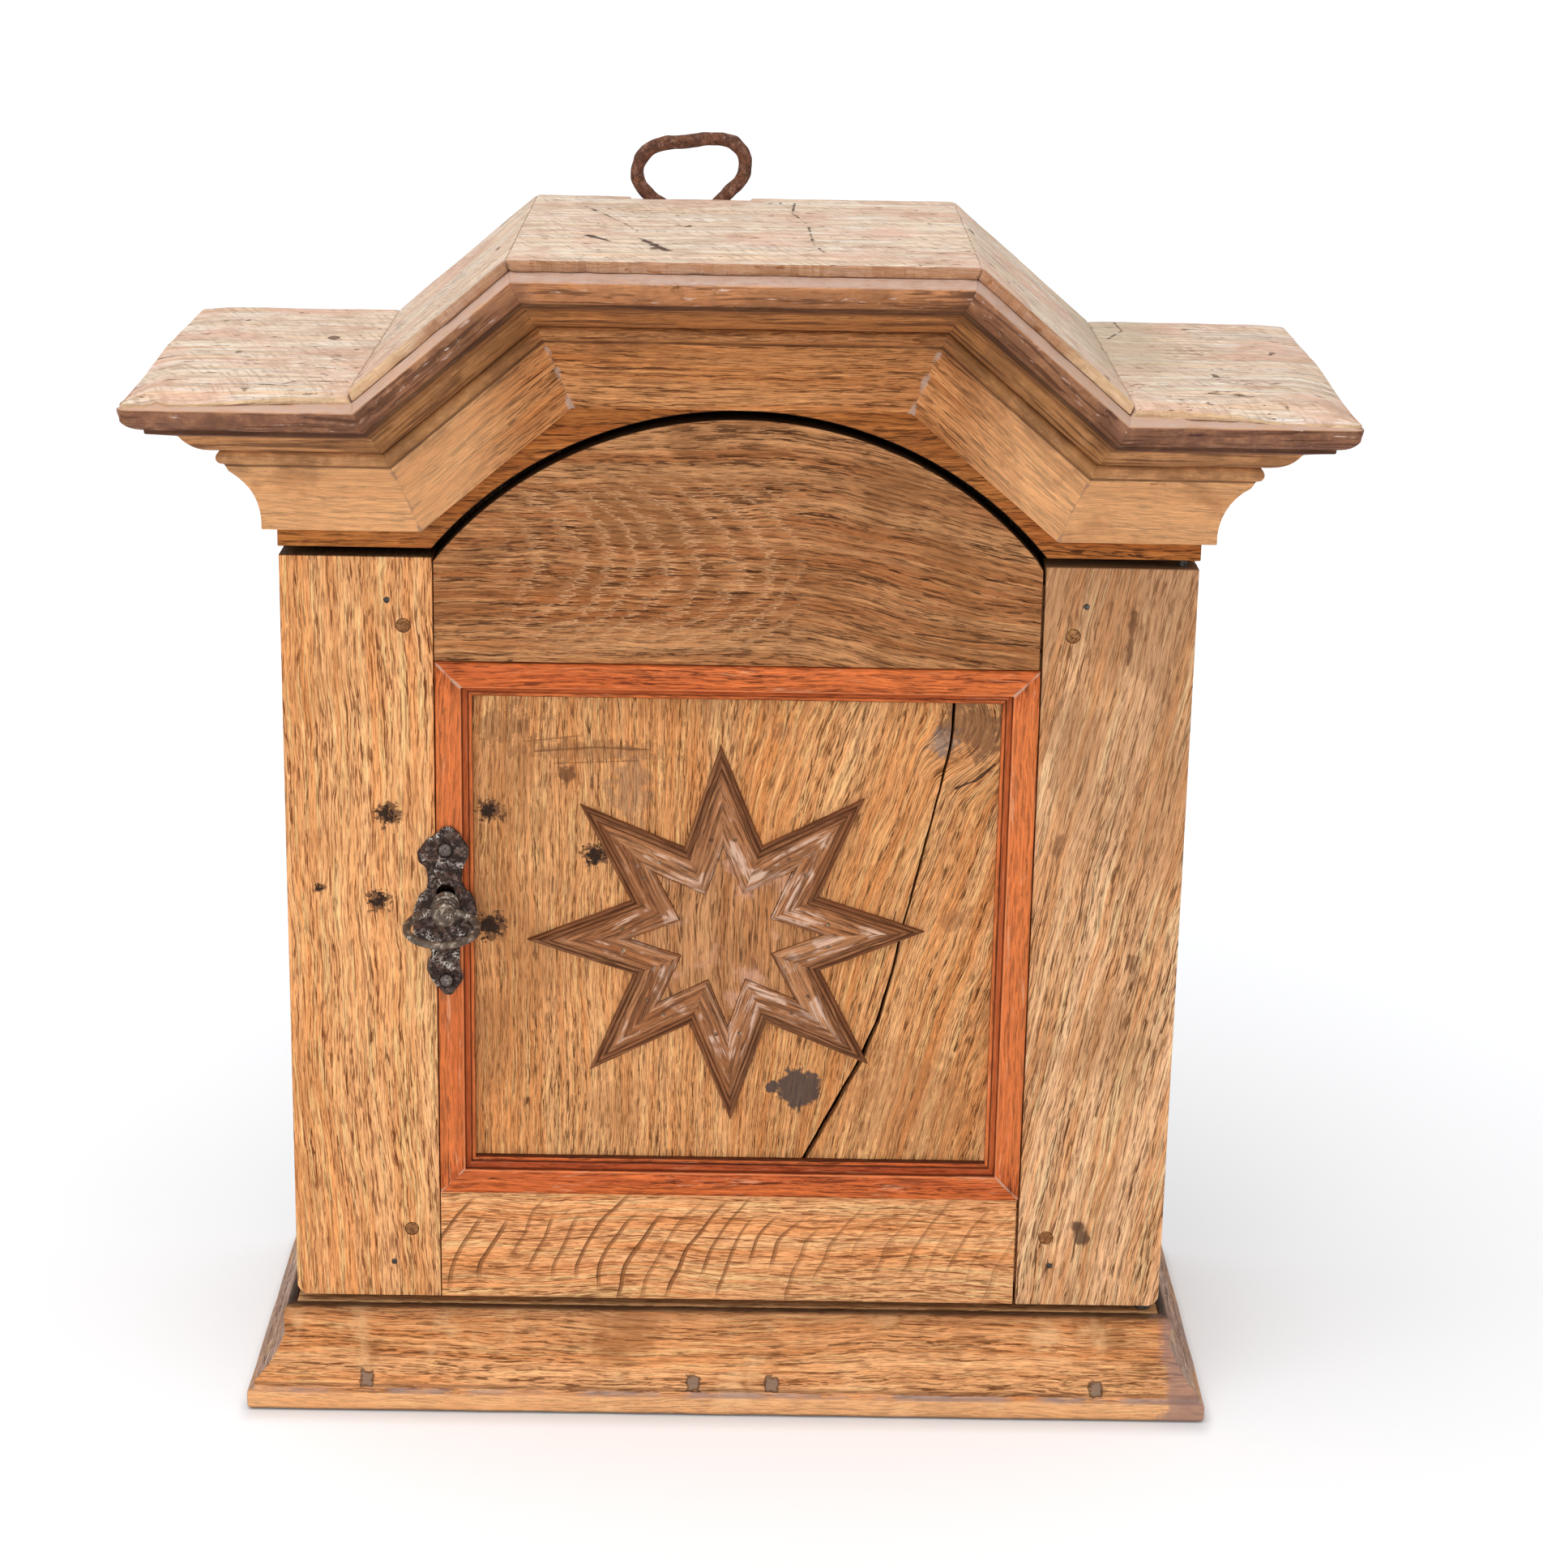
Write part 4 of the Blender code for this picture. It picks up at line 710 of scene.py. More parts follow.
def wear_end(board, middle):
    """Draws the outer end of a flat board out over the nose of the cornice and thins it to a feather edge."""
    for vert in board.data.vertices:
        aside, back = abs(vert.co.x), vert.co.y - ROOF_FRONT
        outer = share_past(aside, 0.215, ROOF_END)
        ahead = outer * share_past(back, 0.040, 0.0)
        worn_front = max(0.45, min(1.0, 1.3 * outer)) * share_past(back, 0.024, 0.0) ** 1.6
        worn_end = share_past(aside, 0.318, ROOF_END) ** 1.6 * (0.2 + 0.8 * share_past(back, 0.150, 0.030))
        thin = max(worn_end, worn_front)
        vert.co.z -= thin * (0.0088 if vert.co.z > middle else 0.0028)
        vert.co.x += math.copysign(share_past(aside, 0.300, ROOF_END) * 0.0098, vert.co.x)
        vert.co.y -= ahead * 0.0093


for seed, (part, way) in enumerate(ROOF_WAYS.items(), 20):
    node = f"roof_{part}"
    low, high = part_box(node)
    board = eased_copy(node, "board", ROUGH_EASED)
    slice_up(board, (RIGHTWARD, -FORWARD), ROOF_GRID)
    lay_grain(board, way, way.cross(-FORWARD), seed)
    splinter_front(board, low.y)
    if part.startswith("flat"):
        wear_end(board, (low.z + high.z) / 2)
        knock_corners(board, 0.0066)
    settle(board, "case", "dusty_oak", roof_finish, node)


# Base moulding: an oak moulding round the front and sides, mitred at the front corners.
# Its foot is worn, nails show as grey plugs, and the right corner is rubbed grey.

BASE_NAILS = (-0.2265, -0.0213, 0.0282, 0.2323)
BASE_NAIL_RISE = 0.0196
PLUG_SIZE = 0.0082

base_profile = [(0, 0), (0.0245, 0), (0.0275, 0.0010), (0.0285, 0.0036), (0.0285, 0.013), (0.0243, 0.013)]
base_profile += bow((0.0243, 0.0185), (0.007, 0.044), 0.0023)
base_profile += bow((0.007, 0.059), (0.003, 0.0625), -0.0006, 4) + [(0, 0.0625)]
base_corners = [(-CORNICE_EDGE, WALL, 0), (-CORNICE_EDGE, CORNICE_FACE, 0),
                (CORNICE_EDGE, CORNICE_FACE, 0), (CORNICE_EDGE, WALL, 0)]


def base_coat(name, light, mid, dark):
    """The base's oak: painted shade at its bottom edge, in the quirk and at its top; soft pale wear on the
    cove.
    """
    coat = oak(name, light, mid, dark)
    rise = coat.grain.part("X")
    blotch(coat, 0.05, paint(142, 90, 50), 0.55)
    blotch(coat, 0.03, paint(236, 190, 138), 0.45, 0.54, 0.72)
    coat.cover(paint(240, 186, 134), rise.ramp(0.0136, 0.0126) * 0.40)
    # A dark line in the quirk above the foot: painted shade.
    coat.cover(paint(92, 56, 34), rise.between(0.0150, 0.0176, 0.0007) * 0.5)
    dusty = coat.place.cloud((40, 40, 40), 3).ramp(0.35, 0.60) * rise.between(0.0126, 0.0146, 0.0006)
    coat.cover(paint(168, 146, 138), dusty * 0.75)
    # Darker towards the top and black along it: painted shade under the door.
    coat.cover(paint(120, 76, 46), rise.ramp(0.052, 0.060) * 0.45)
    gap_shade_and_dirt(coat, rise, 0.0598, 0.0622, 0.85)
    # Darker along the bottom edge: painted shade where the base meets the floor.
    coat.cover(paint(52, 34, 24), rise.ramp(0.0034, 0.0004) * 0.8)
    return coat


def nail_plug(coat, x):
    """A square grey stopping over a sunk nail, with a dark broken line round it."""
    jag = (coat.place.cloud((260, 260, 260)) - 0.5) * 0.005
    aside, above = abs(coat.place.part("X") - x), abs(coat.place.part("Z") - BASE_NAIL_RISE)
    reach = aside.most(above) + jag
    coat.cover(paint(62, 44, 34), reach.ramp(PLUG_SIZE * 0.58, PLUG_SIZE * 0.48) * 0.75)
    coat.cover(paint(140, 116, 98), reach.ramp(PLUG_SIZE * 0.40, PLUG_SIZE * 0.30) * 0.8)


base_oak = base_coat("base_oak", paint(244, 181, 125), paint(226, 157, 101), paint(124, 72, 35))
for x in BASE_NAILS:
    nail_plug(base_oak, x)
rubbed_corner = base_oak.place.part("X") + (base_oak.place.cloud((60, 60, 60), 4, 0.65) - 0.5) * 0.06
base_oak.cover(paint(140, 112, 106), rubbed_corner.ramp(0.268, 0.282) * 0.7)
base_side_oak = base_coat("base_side_oak", paint(206, 176, 156), paint(180, 146, 126), paint(118, 86, 70))
base_front_finish, base_side_finish = lay_on(base_oak), lay_on(base_side_oak)
base_nodes = [f"base_moulding_{side}" for side in ("left", "front", "right")]
for length in run_mouldings(base_nodes, worn(base_profile, 0.0012), base_corners, (0.00045, 0.03), 26):
    finish = base_front_finish if length.node == "base_moulding_front" else base_side_finish
    settle(length.piece, "case", "honey_oak", finish, length.node)


# Hanging loop: a forged iron rod bent into a flat oval, its two legs let into the back.
# Two broad nails hold the legs, and all of it is brown with rust.

LOOP_AT = Vector((-0.035, 0.1445, 0.7308))
LOOP_WAY = [(-6, -50), (-6, -27), (-6, -20), (-9.6, -12.4), (-27.9, 2.9), (-34, 12.1), (-33.3, 20.6),
            (-28.2, 28.7), (-17.7, 33.5), (-4.1, 35.3), (8.8, 36.8), (21.1, 36.8), (29.2, 33.1), (34, 25.8),
            (34, 17.3), (30.6, 10.3), (23.8, 3.7), (9.6, -12.4), (6, -20), (6, -27), (6, -50)]
MILLIMETRE = 0.001


def drawn_smooth(name, points, closed, swell=0.0, **settings):
    """A curve drawn smoothly through these points and turned into a mesh.

    Swell lets its thickness vary a little from point to point.
    """
    curve = bpy.data.curves.new(name, "CURVE")
    for key, value in settings.items():
        setattr(curve, key, value)
    spline = curve.splines.new("BEZIER")
    spline.bezier_points.add(len(points) - 1)
    spline.use_cyclic_u = closed
    for index, (knot, point) in enumerate(zip(spline.bezier_points, points)):
        knot.co = point
        knot.handle_left_type = knot.handle_right_type = "AUTO"
        knot.radius = 1.0 - swell * (0.5 + 0.5 * noise.noise(Vector((index * 0.73, 1.7, 0.0))))
    drawn = bpy.data.objects.new(name, curve)
    bpy.context.collection.objects.link(drawn)
    take_up(drawn)
    bpy.ops.object.convert(target="MESH")
    return bpy.context.object


def bent_rod(name, points, radius, closed, swell):
    """A round rod bent smoothly through these points."""
    return drawn_smooth(name, points, closed, swell, dimensions="3D", bevel_depth=radius, bevel_resolution=5,
                        use_fill_caps=True, resolution_u=8)


def iron(name, dark, worn_tone, rust, rust_share, roughness=0.55, metallic=0.75):
    """Forged iron: dark skin, brighter where it is rubbed, with rust and pits."""
    coat = Coat(name)
    place = coat.place
    skin = place.cloud((260, 260, 260), 4, 0.6)
    pits = place.cloud((900, 900, 900), 3, 0.65)
    rusty = place.cloud((150, 150, 150), 5, 0.7).ramp(0.62 - 0.3 * rust_share, 0.80 - 0.3 * rust_share)
    coat.colour = coat.bare.mix(dark, worn_tone, skin.ramp(0.45, 0.70))
    coat.cover(rust, rusty * 0.85)
    coat.cover(scaled(dark, 0.35), pits.ramp(0.56, 0.70) * 0.7)
    coat.height = skin * 0.7 - pits.ramp(0.52, 0.70)
    coat.roughness = roughness + rusty * 0.3 - skin.ramp(0.5, 0.7) * 0.12
    coat.metal = metallic - rusty * (metallic * 0.8)
    return coat


def lay_iron(coat, depth=0.0005):
    """Joins a coat of iron to its shader."""
    shader = coat.finish.node_tree.nodes["Principled BSDF"]
    coat.bare.feed(coat.metal, shader.inputs["Metallic"])
    return lay_on(coat, depth, 0.8)


loop_iron = iron("rusty_iron", paint(92, 63, 52), paint(150, 112, 94), paint(124, 82, 62), 0.6, 0.75, 0.2)
loop_finish = lay_iron(loop_iron)
loop_points = [LOOP_AT + Vector((x, 0, z)) * MILLIMETRE for x, z in LOOP_WAY]
loop = bent_rod("hanging_loop_rod", loop_points, 0.0045, False, 0.10)
roughen(loop, "hanging_loop", 0.0007, 0.006)
settle(loop, "case", "rusty_iron", loop_finish, "hanging_loop")
for node in ("loop_nail_upper", "loop_nail_lower"):
    nail = eased_copy(node, "forged", 0.0004, 0.0003)
    roughen(nail, node, 0.0003, 0.004)
    settle(nail, "case", "rusty_iron", loop_finish, node)


# Pivot pins and keeper: two iron pins that the door turns on, and the iron staple for the bolt.
# They are plain forged work, hidden while the door is shut.

hidden_iron = lay_iron(iron("hidden_iron", paint(62, 58, 56), paint(112, 106, 100), paint(112, 70, 48), 0.3))
for node in ("pivot_pin_upper", "pivot_pin_lower", "bolt_keeper"):
    settle(eased_copy(node, "forged", 0.0003, 0.0004), "case", "forged_iron", hidden_iron, node)


# Door stiles: two upright oak boards at the sides of the door, flush with the frieze.
# The left one is bright and rubbed, the right one darker; both carry nails and pegs.

DOOR_FACE = -0.0725
STILE_TOP = 0.5452
FLAT_SPOT = (1, 3, 1)
LEFT_HOLES = ((-0.2090, 0.3856, 0.0074), (-0.2158, 0.3309, 0.0068), (-0.2520, 0.3380, 0.0032))


def slant(amount):
    """Grain that runs out of true by so much for each metre of the plank."""
    return lambda coat: coat.grain.part("Z") * amount


def on_face(face, way):
    """Points of a line seen from the front, laid on a face of the door."""
    return [(x, face, z) for x, z in way]


def stain(coat, centre, radius, colour, share, stretch=FLAT_SPOT, ragged=2.4, core=0.55):
    """A spot with a ragged edge on the object, full out to a share of its radius, its core."""
    fine = 95 + 1 / radius
    waver = coat.place.cloud((fine, fine, fine), 4, 0.65) - 0.5
    apart = coat.place.vector("SUBTRACT", Vector(centre)).vector("MULTIPLY", stretch).length()
    reach = apart + waver * (ragged * radius)
    coat.cover(colour, reach.ramp(radius, radius * core) * share)


def filled_hole(coat, x, z, face, radius):
    """An old ragged hole, stopped with filler that has partly fallen out of it."""
    stain(coat, (x, face, z), radius * 1.2, paint(140, 96, 60), 0.6, (1, 3, 1.2), 3.0)
    stain(coat, (x, face, z), radius, paint(84, 54, 36), 0.80, (1, 3, 1.2), 5.0, 0.8)
    stain(coat, (x - radius * 0.2, face, z), radius * 0.7, paint(32, 21, 15), 0.90, (1.1, 3, 1.0), 5.5, 0.8)


left_oak = oak("left_stile_oak", paint(255, 195, 135), paint(242, 172, 111), paint(130, 66, 27),
               (0.32, 0.0), bend=slant(-0.03))
blotch(left_oak, 0.06, paint(176, 116, 66), 0.40)
for x, z, radius in LEFT_HOLES:
    filled_hole(left_oak, x, z, DOOR_FACE, radius)
right_oak = oak("right_stile_oak", paint(249, 196, 148), paint(226, 169, 120), paint(114, 70, 37),
                (0.32, 0.0), bend=slant(0.19))
blotch(right_oak, 0.07, paint(146, 100, 62), 0.38)
# Black along the top ends of the stiles: painted shade in the gap under the frieze.
for coat in (left_oak, right_oak):
    gap_shade_and_dirt(coat, coat.place.part("Z"), STILE_TOP - 0.0006, STILE_TOP)
upper_tone = right_oak.place.part("Z").ramp(0.30, 0.46)
upper_tone = upper_tone * right_oak.place.cloud((30, 30, 12), 3).ramp(0.25, 0.6)
right_oak.cover(paint(150, 106, 72), upper_tone * 0.55)
for width, tone, share, way in ((0.0058, paint(76, 52, 38), 0.85, ((0.2190, 0.1200), (0.2215, 0.1120))),
                                (0.0026, paint(92, 56, 34), 0.75, ((0.2350, 0.5180), (0.2325, 0.4867))),
                                (0.0050, paint(104, 66, 42), 0.55, ((0.1965, 0.377), (0.1945, 0.369))),
                                (0.0040, paint(116, 76, 48), 0.5, ((0.2460, 0.300), (0.2455, 0.286)))):
    score(right_oak, on_face(DOOR_FACE, way), width, tone, share)
for side, coat in (("left", left_oak), ("right", right_oak)):
    plank(f"stile_{side}", "door", "honey_oak", lay_on(coat), UPWARD, FORWARD, 0, FRONT_EASED)


# Door rails: the arched top rail and the straight bottom rail, tenoned into the stiles.
# The top one is brown and flat-sawn, the bottom one quarter-sawn with wavy ray flecks.

SHOULDER = 0.1815
RAIL_FOOT = 0.067
SHRUNK_LEFT = 0.0004
SHRUNK_RIGHT = 0.0015
ARC_MIDDLE = 0.544
ARC_STEP = 0.019
STROKE_STEP = 0.0160


def droop_right(coat):
    """Grain that falls away towards the right end of the rail."""
    x = coat.place.part("X")
    return x.ramp(-0.02, 0.16) * x * 0.16


def rail(node, slot, coat):
    """A rail that has shrunk, so that its shoulders stand a little off the stiles."""
    board = plank(node, "door", slot, lay_on(coat), RIGHTWARD, FORWARD, 0, FRONT_EASED)
    for vert in board.data.vertices:
        if abs(abs(vert.co.x) - SHOULDER) < 0.0009:
            vert.co.x += SHRUNK_LEFT if vert.co.x < 0 else -SHRUNK_RIGHT


top_oak = oak("top_rail_oak", paint(204, 147, 97), paint(171, 110, 65), paint(80, 45, 23), (0.30, 0.0),
              bend=droop_right, pore=1.2)
blotch(top_oak, 0.06, paint(128, 82, 46), 0.55)
top_x, arc_rise = top_oak.place.part("X"), top_oak.place.part("Z") - ARC_MIDDLE
arc_place = top_x + arc_rise * arc_rise * 20 + (top_oak.cells - 0.5) * 0.034
arc_phase = ((arc_place + top_oak.place.cloud((14, 14, 14)) * 0.06) * (1 / ARC_STEP)).fraction()
arc_here = top_x.between(-0.135, 0.035, 0.02) * arc_rise.between(-0.050, 0.050, 0.014)
top_oak.cover(paint(222, 172, 126), arc_phase.between(0.44, 0.56, 0.07) * arc_here * 0.62)
rail_split = ((0.105, 0.5035), (0.140, 0.499), (0.182, 0.497))
score(top_oak, on_face(DOOR_FACE, rail_split), 0.0006, paint(50, 30, 18))
# Black along the rail's arched top edge: painted shade in the gap under the arch.
gap_shade_and_dirt(top_oak, from_arch_centre(top_oak), ARCH_RADIUS - 0.0057, ARCH_RADIUS - 0.0052)
rail("rail_top", "brown_oak", top_oak)

bottom_oak = oak("bottom_rail_oak", paint(255, 195, 138), paint(246, 175, 117), paint(150, 86, 44),
                 (0.30, 0.0))
rail_place = bottom_oak.place
rail_x, rail_rise = rail_place.part("X"), rail_place.part("Z") - RAIL_FOOT
wave = rail_place.cloud((13, 13, 30), 1) * 0.014 + rail_place.cloud((9, 9, 4)) * 0.044
stroke_count = (rail_x + wave - rail_rise * 0.12 - rail_rise * rail_rise * 5.5) * (1 / STROKE_STEP)
stroke = stroke_count.fraction()
stroke_number = bottom_oak.bare.maths("FLOOR", stroke_count)
one_way = {"noise_dimensions": "1D"}
chance = bottom_oak.bare.node("ShaderNodeTexWhiteNoise", one_way, {"W": stroke_number}, "Color")
stroke_foot, stroke_head = chance.part("X") * 0.032, 0.074 - chance.part("Y") * 0.030
kept = rail_rise.between(stroke_foot, stroke_head, 0.006) * (chance.part("Z") * 0.5 + 0.5)
kept = kept * (1.0 - rail_x.ramp(-0.03, 0.10) * 0.5)
bottom_oak.cover(paint(130, 80, 44), stroke.between(0.42, 0.58, 0.03) * kept * 0.90)
bottom_oak.cover(paint(70, 38, 20), stroke.between(0.40, 0.46, 0.02) * kept * 0.85)
dashes = bottom_oak.bent.cloud((700, 700, 150), 1).ramp(0.54, 0.62)
bottom_oak.cover(paint(160, 98, 54), dashes * 0.35)
rail("rail_bottom", "honey_oak", bottom_oak)


# Pegs and small nails: oak pegs through the tenons, cut off flush, and nails beside them.
# The pegs show their end grain as dark rings, and the nail heads are black.

PEG_SEED = 34
DOOR_NAILS = ((-0.2085, 0.519), (0.2062, 0.5216), (-0.2103, 0.0905), (0.2021, 0.0939))

peg_finish = lay_on(oak("peg_oak", paint(176, 126, 80), paint(150, 102, 62), paint(92, 58, 34)))
for place in ("top_left", "top_right", "bottom_left", "bottom_right"):
    peg = eased_copy(f"peg_{place}", "pin", 0.0005, 0.0004)
    lay_grain(peg, FORWARD, UPWARD, PEG_SEED)
    settle(peg, "door", "brown_oak", peg_finish, f"peg_{place}")


def nail_head(name, spot, radius, rise, dented=0.22):
    """A forged nail head that faces forward: a flat dome with steep, hammered sides."""
    bpy.ops.object.select_all(action="DESELECT")
    bpy.ops.mesh.primitive_uv_sphere_add(segments=16, ring_count=10, radius=radius)
    head = bpy.context.object
    head.name = head.data.name = name
    for vert in head.data.vertices:
        dent = 1.0 + dented * noise.noise((vert.co + Vector(spot)) * (1.4 / radius))
        lift = math.copysign(math.sqrt(abs(vert.co.y) / radius) * rise, vert.co.y)
        vert.co = Vector(spot) + Vector((vert.co.x * dent, lift, vert.co.z * dent))
    return head


for number, (x, z) in enumerate(DOOR_NAILS, 1):
    head = nail_head(f"door_nail_{number}", (x, DOOR_FACE, z), 0.0019, 0.0006)
    settle(head, "door", "forged_iron", hidden_iron)


# Panel: one wide oak board held in grooves, split from top to bottom as it shrank.
# It carries the star, an ink stain and the marks of long use.

CRACK_WAY = [(130.6, 470), (130.2, 442), (127.8, 425), (119.3, 385), (107.1, 330), (97.5, 285), (89.4, 252),
             (79, 226), (63.6, 194), (46.6, 161), (40, 148)]
CRACK_GAPS = [1.9, 2.0, 1.7, 1.5, 1.6, 1.9, 2.7, 3.6, 4.0, 3.8, 3.2]
PANEL_FACE = -0.0625
KNOT_AT = Vector((0.152, PANEL_FACE, 0.440))
KEY_AT = Vector((-0.175, 0.0, 0.331))
KEYHOLE_REACH = 0.0135
PANEL_HOLES = ((-0.1488, 0.3860, 0.0078), (-0.0839, 0.3586, 0.0078), (-0.1483, 0.3114, 0.0092))


def finer(points, parts):
    """The same line with more points along it."""
    line = []
    for first, last in zip(points, points[1:]):
        first, last = Vector(first), Vector(last)
        line += [first.lerp(last, i / parts) for i in range(parts)]
    return line + [Vector(points[-1])]


def crack_tool():
    """A thin upright blade along the split, wider towards its foot, that cuts right through the panel."""
    right, left = [], []
    crack = [(x, z, gap) for (x, z), gap in zip(CRACK_WAY, CRACK_GAPS)]
    for x, z, gap in finer(crack, 4):
        gap += 0.6 * noise.noise(Vector((z * 0.3, 7.1, 0.0)))
        waver = 0.8 * noise.noise(Vector((z * 0.05, 0.3, 0.0)))
        right.append((x + waver + gap / 2, z))
        left.append((x + waver - gap / 2, z))
    outline = [(x * MILLIMETRE, -0.066, z * MILLIMETRE) for x, z in right + left[::-1]]
    blade = pushed_out("crack_blade", outline, (0, 0.02, 0))
    close_up()
    return blade


def cut_with(piece, tool):
    """Takes the tool's shape out of the piece and throws the tool away."""
    take_up(piece)
    bpy.ops.object.modifier_add(type="BOOLEAN")
    piece.modifiers[-1].object = tool
    piece.modifiers[-1].operation = "DIFFERENCE"
    bpy.ops.object.modifier_apply(modifier=piece.modifiers[-1].name)
    bpy.data.objects.remove(tool)


def panel_bend(coat):
    """Upright grain on the left, grain that follows the split on the right, and a whorl round the knot."""
    x, z = coat.place.part("X"), coat.place.part("Z")
    knot = coat.place.vector("SUBTRACT", KNOT_AT).length().ramp(0.050, 0.004)
    swirl = coat.place.cloud((34, 34, 34)) - 0.5
    return x.ramp(-0.04, 0.10) * (z - 0.31) * 0.27 + knot * 0.022 + swirl * (x.ramp(0.03, 0.12) * 0.0025)


panel_oak = oak("panel_oak", paint(244, 181, 122), paint(223, 153, 94), paint(106, 60, 27), (0.22, 0.0),
                bend=panel_bend, pore=1.25)
blotch(panel_oak, 0.10, paint(160, 108, 66), 0.5)
blotch(panel_oak, 0.03, paint(150, 108, 76), 0.35, 0.56, 0.74)
for x, z, *look in ((0.110, 0.200, 0.045, paint(150, 98, 60), 0.40),
                    (0.135, 0.320, 0.014, paint(140, 90, 56), 0.50, (1, 3, 1.6)),
                    (0.0415, 0.2080, 0.0148, paint(66, 57, 55), 0.90, FLAT_SPOT, 1.3, 0.80),
                    (0.0255, 0.2080, 0.0046, paint(66, 57, 55), 0.90, FLAT_SPOT, 1.3, 0.80),
                    (0.125, 0.434, 0.011, paint(112, 106, 102), 0.70),
                    (0.146, 0.442, 0.024, paint(104, 70, 48), 0.70)):
    stain(panel_oak, (x, PANEL_FACE, z), *look)
for x, z, radius in PANEL_HOLES:
    filled_hole(panel_oak, x, z, PANEL_FACE, radius)
for x, z, *look in ((-0.1021, 0.4099, 0.0072, paint(98, 60, 36), 0.85, (1, 3, 1.1), 1.6),
                    (-0.088, 0.425, 0.032, paint(128, 84, 52), 0.50, (0.6, 3, 4.5), 3.6),
                    (-0.142, 0.440, 0.024, paint(120, 80, 50), 0.50, (0.8, 3, 2.0), 4.0),
                    (-0.064, 0.403, 0.020, paint(126, 98, 76), 0.45, (1.2, 3, 0.8), 3.0)):
    stain(panel_oak, (x, PANEL_FACE, z), *look)
# Black round the key, seen through the keyhole: painted shade inside the keyhole.
stain(panel_oak, KEY_AT, KEYHOLE_REACH, paint(18, 12, 9), 0.95, (1, 0.05, 1), 0.0)
scratch_tone = paint(104, 66, 40)
for width, tone, share, way in (
        (0.0013, paint(48, 30, 20), 0.9, ((0.1335, 0.405), (0.145, 0.410), (0.156, 0.420))),
        (0.0011, scratch_tone, 0.65, ((-0.122, 0.424), (-0.085, 0.427), (-0.053, 0.426))),
        (0.0008, scratch_tone, 0.5, ((-0.128, 0.430), (-0.095, 0.434))),
        (0.0007, scratch_tone, 0.5, ((-0.110, 0.4165), (-0.060, 0.419))),
        (0.0005, paint(74, 44, 28), 0.9, ((0.099, 0.325), (0.090, 0.285), (0.082, 0.255)))):
    score(panel_oak, on_face(PANEL_FACE, way), width, tone, share)
panel_finish = lay_on(panel_oak)
panel = shaped_copy("panel", "panel_board")
cut_with(panel, crack_tool())
lay_grain(panel, UPWARD, FORWARD, 0)
settle(panel, "door", "honey_oak", panel_finish, "panel")


# Panel mouldings: four mitred lengths stained red, pinned on the edge of the panel.
# A broad crowned band, a narrow cove and a bead, scuffed, with filler in the mitres.

FRAME_SIDE = 0.1806
FRAME_FOOT = 0.1388
FRAME_HEAD = 0.4815
PLANTED = -0.0628


def keyhole_tool():
    """A tall opening with a round head, wide enough for the key's bit."""
    turns = [math.pi * i / 12 for i in range(-6, 7)]
    outline = [(0.0058 * math.sin(turn), 0.0064 + 0.0058 * math.cos(turn)) for turn in turns]
    outline += [(0.0036, -0.0110), (-0.0036, -0.0110)]
    tool = pushed_out("keyhole_tool", [KEY_AT + Vector((x, -0.09, z)) for x, z in outline], (0, 0.03, 0))
    close_up()
    return tool


def open_keyhole(length):
    """Cuts the keyhole through the left length."""
    if length.node == "panel_moulding_left":
        cut_with(length.piece, keyhole_tool())


frame_profile = [(0, 0), (0.0107, 0.0)] + bow((0.0117, 0.0010), (0.0113, 0.0150), -0.0008)
frame_profile += bow((0.0106, 0.0158), (0.0060, 0.0192), 0.0012, 6)
frame_profile += [(0.0048, 0.0197)] + bow((0.0050, 0.0199), (0.0030, 0.0222), -0.0010, 6) + [(0, 0.0222)]
frame_corners = [(-FRAME_SIDE, PLANTED, FRAME_FOOT), (FRAME_SIDE, PLANTED, FRAME_FOOT),
                 (FRAME_SIDE, PLANTED, FRAME_HEAD), (-FRAME_SIDE, PLANTED, FRAME_HEAD)]

red_oak = oak("red_oak", paint(222, 118, 60), paint(202, 97, 47), paint(92, 36, 18), slits=0.85, warm=0.12)
way_in = red_oak.grain.part("X")
scuff = red_oak.grain.cloud((220, 220, 26), 4, 0.7)
uprights = abs(red_oak.place.part("X")).ramp(0.152, 0.162)
# The upright lengths are painted a little paler.
paler_uprights = uprights * red_oak.place.part("Z").between(0.160, 0.460, 0.012)
red_oak.cover(paint(236, 140, 80), paler_uprights * 0.25)
red_oak.cover(paint(224, 160, 120), scuff.ramp(0.58, 0.70) * 0.55)
# Lines along the profile: a pale line at the band's edge, a darker cove, and dark lines in the quirks and at
# the bead's inner edge, which are painted shade.
for low, high, tone, share in ((0.0146, 0.0154, paint(226, 138, 90), 0.5),
                               (0.0156, 0.0163, paint(70, 26, 12), 0.8),
                               (0.0163, 0.0188, paint(136, 52, 24), 0.5),
                               (0.0189, 0.0197, paint(54, 20, 10), 0.85),
                               (0.0216, 0.0226, paint(40, 18, 10), 0.85)):
    red_oak.cover(tone, way_in.between(low, high, 0.0002) * share)
for x in (-0.181, 0.181):
    for z, rise in ((0.139, 0.022), (0.482, -0.022)):
        corner = Vector((x, -0.0745, z))
        inward = Vector((-math.copysign(0.022, x), 0, rise))
        score(red_oak, [corner, corner + inward], 0.0010, paint(196, 170, 150), 0.6, 0.0)
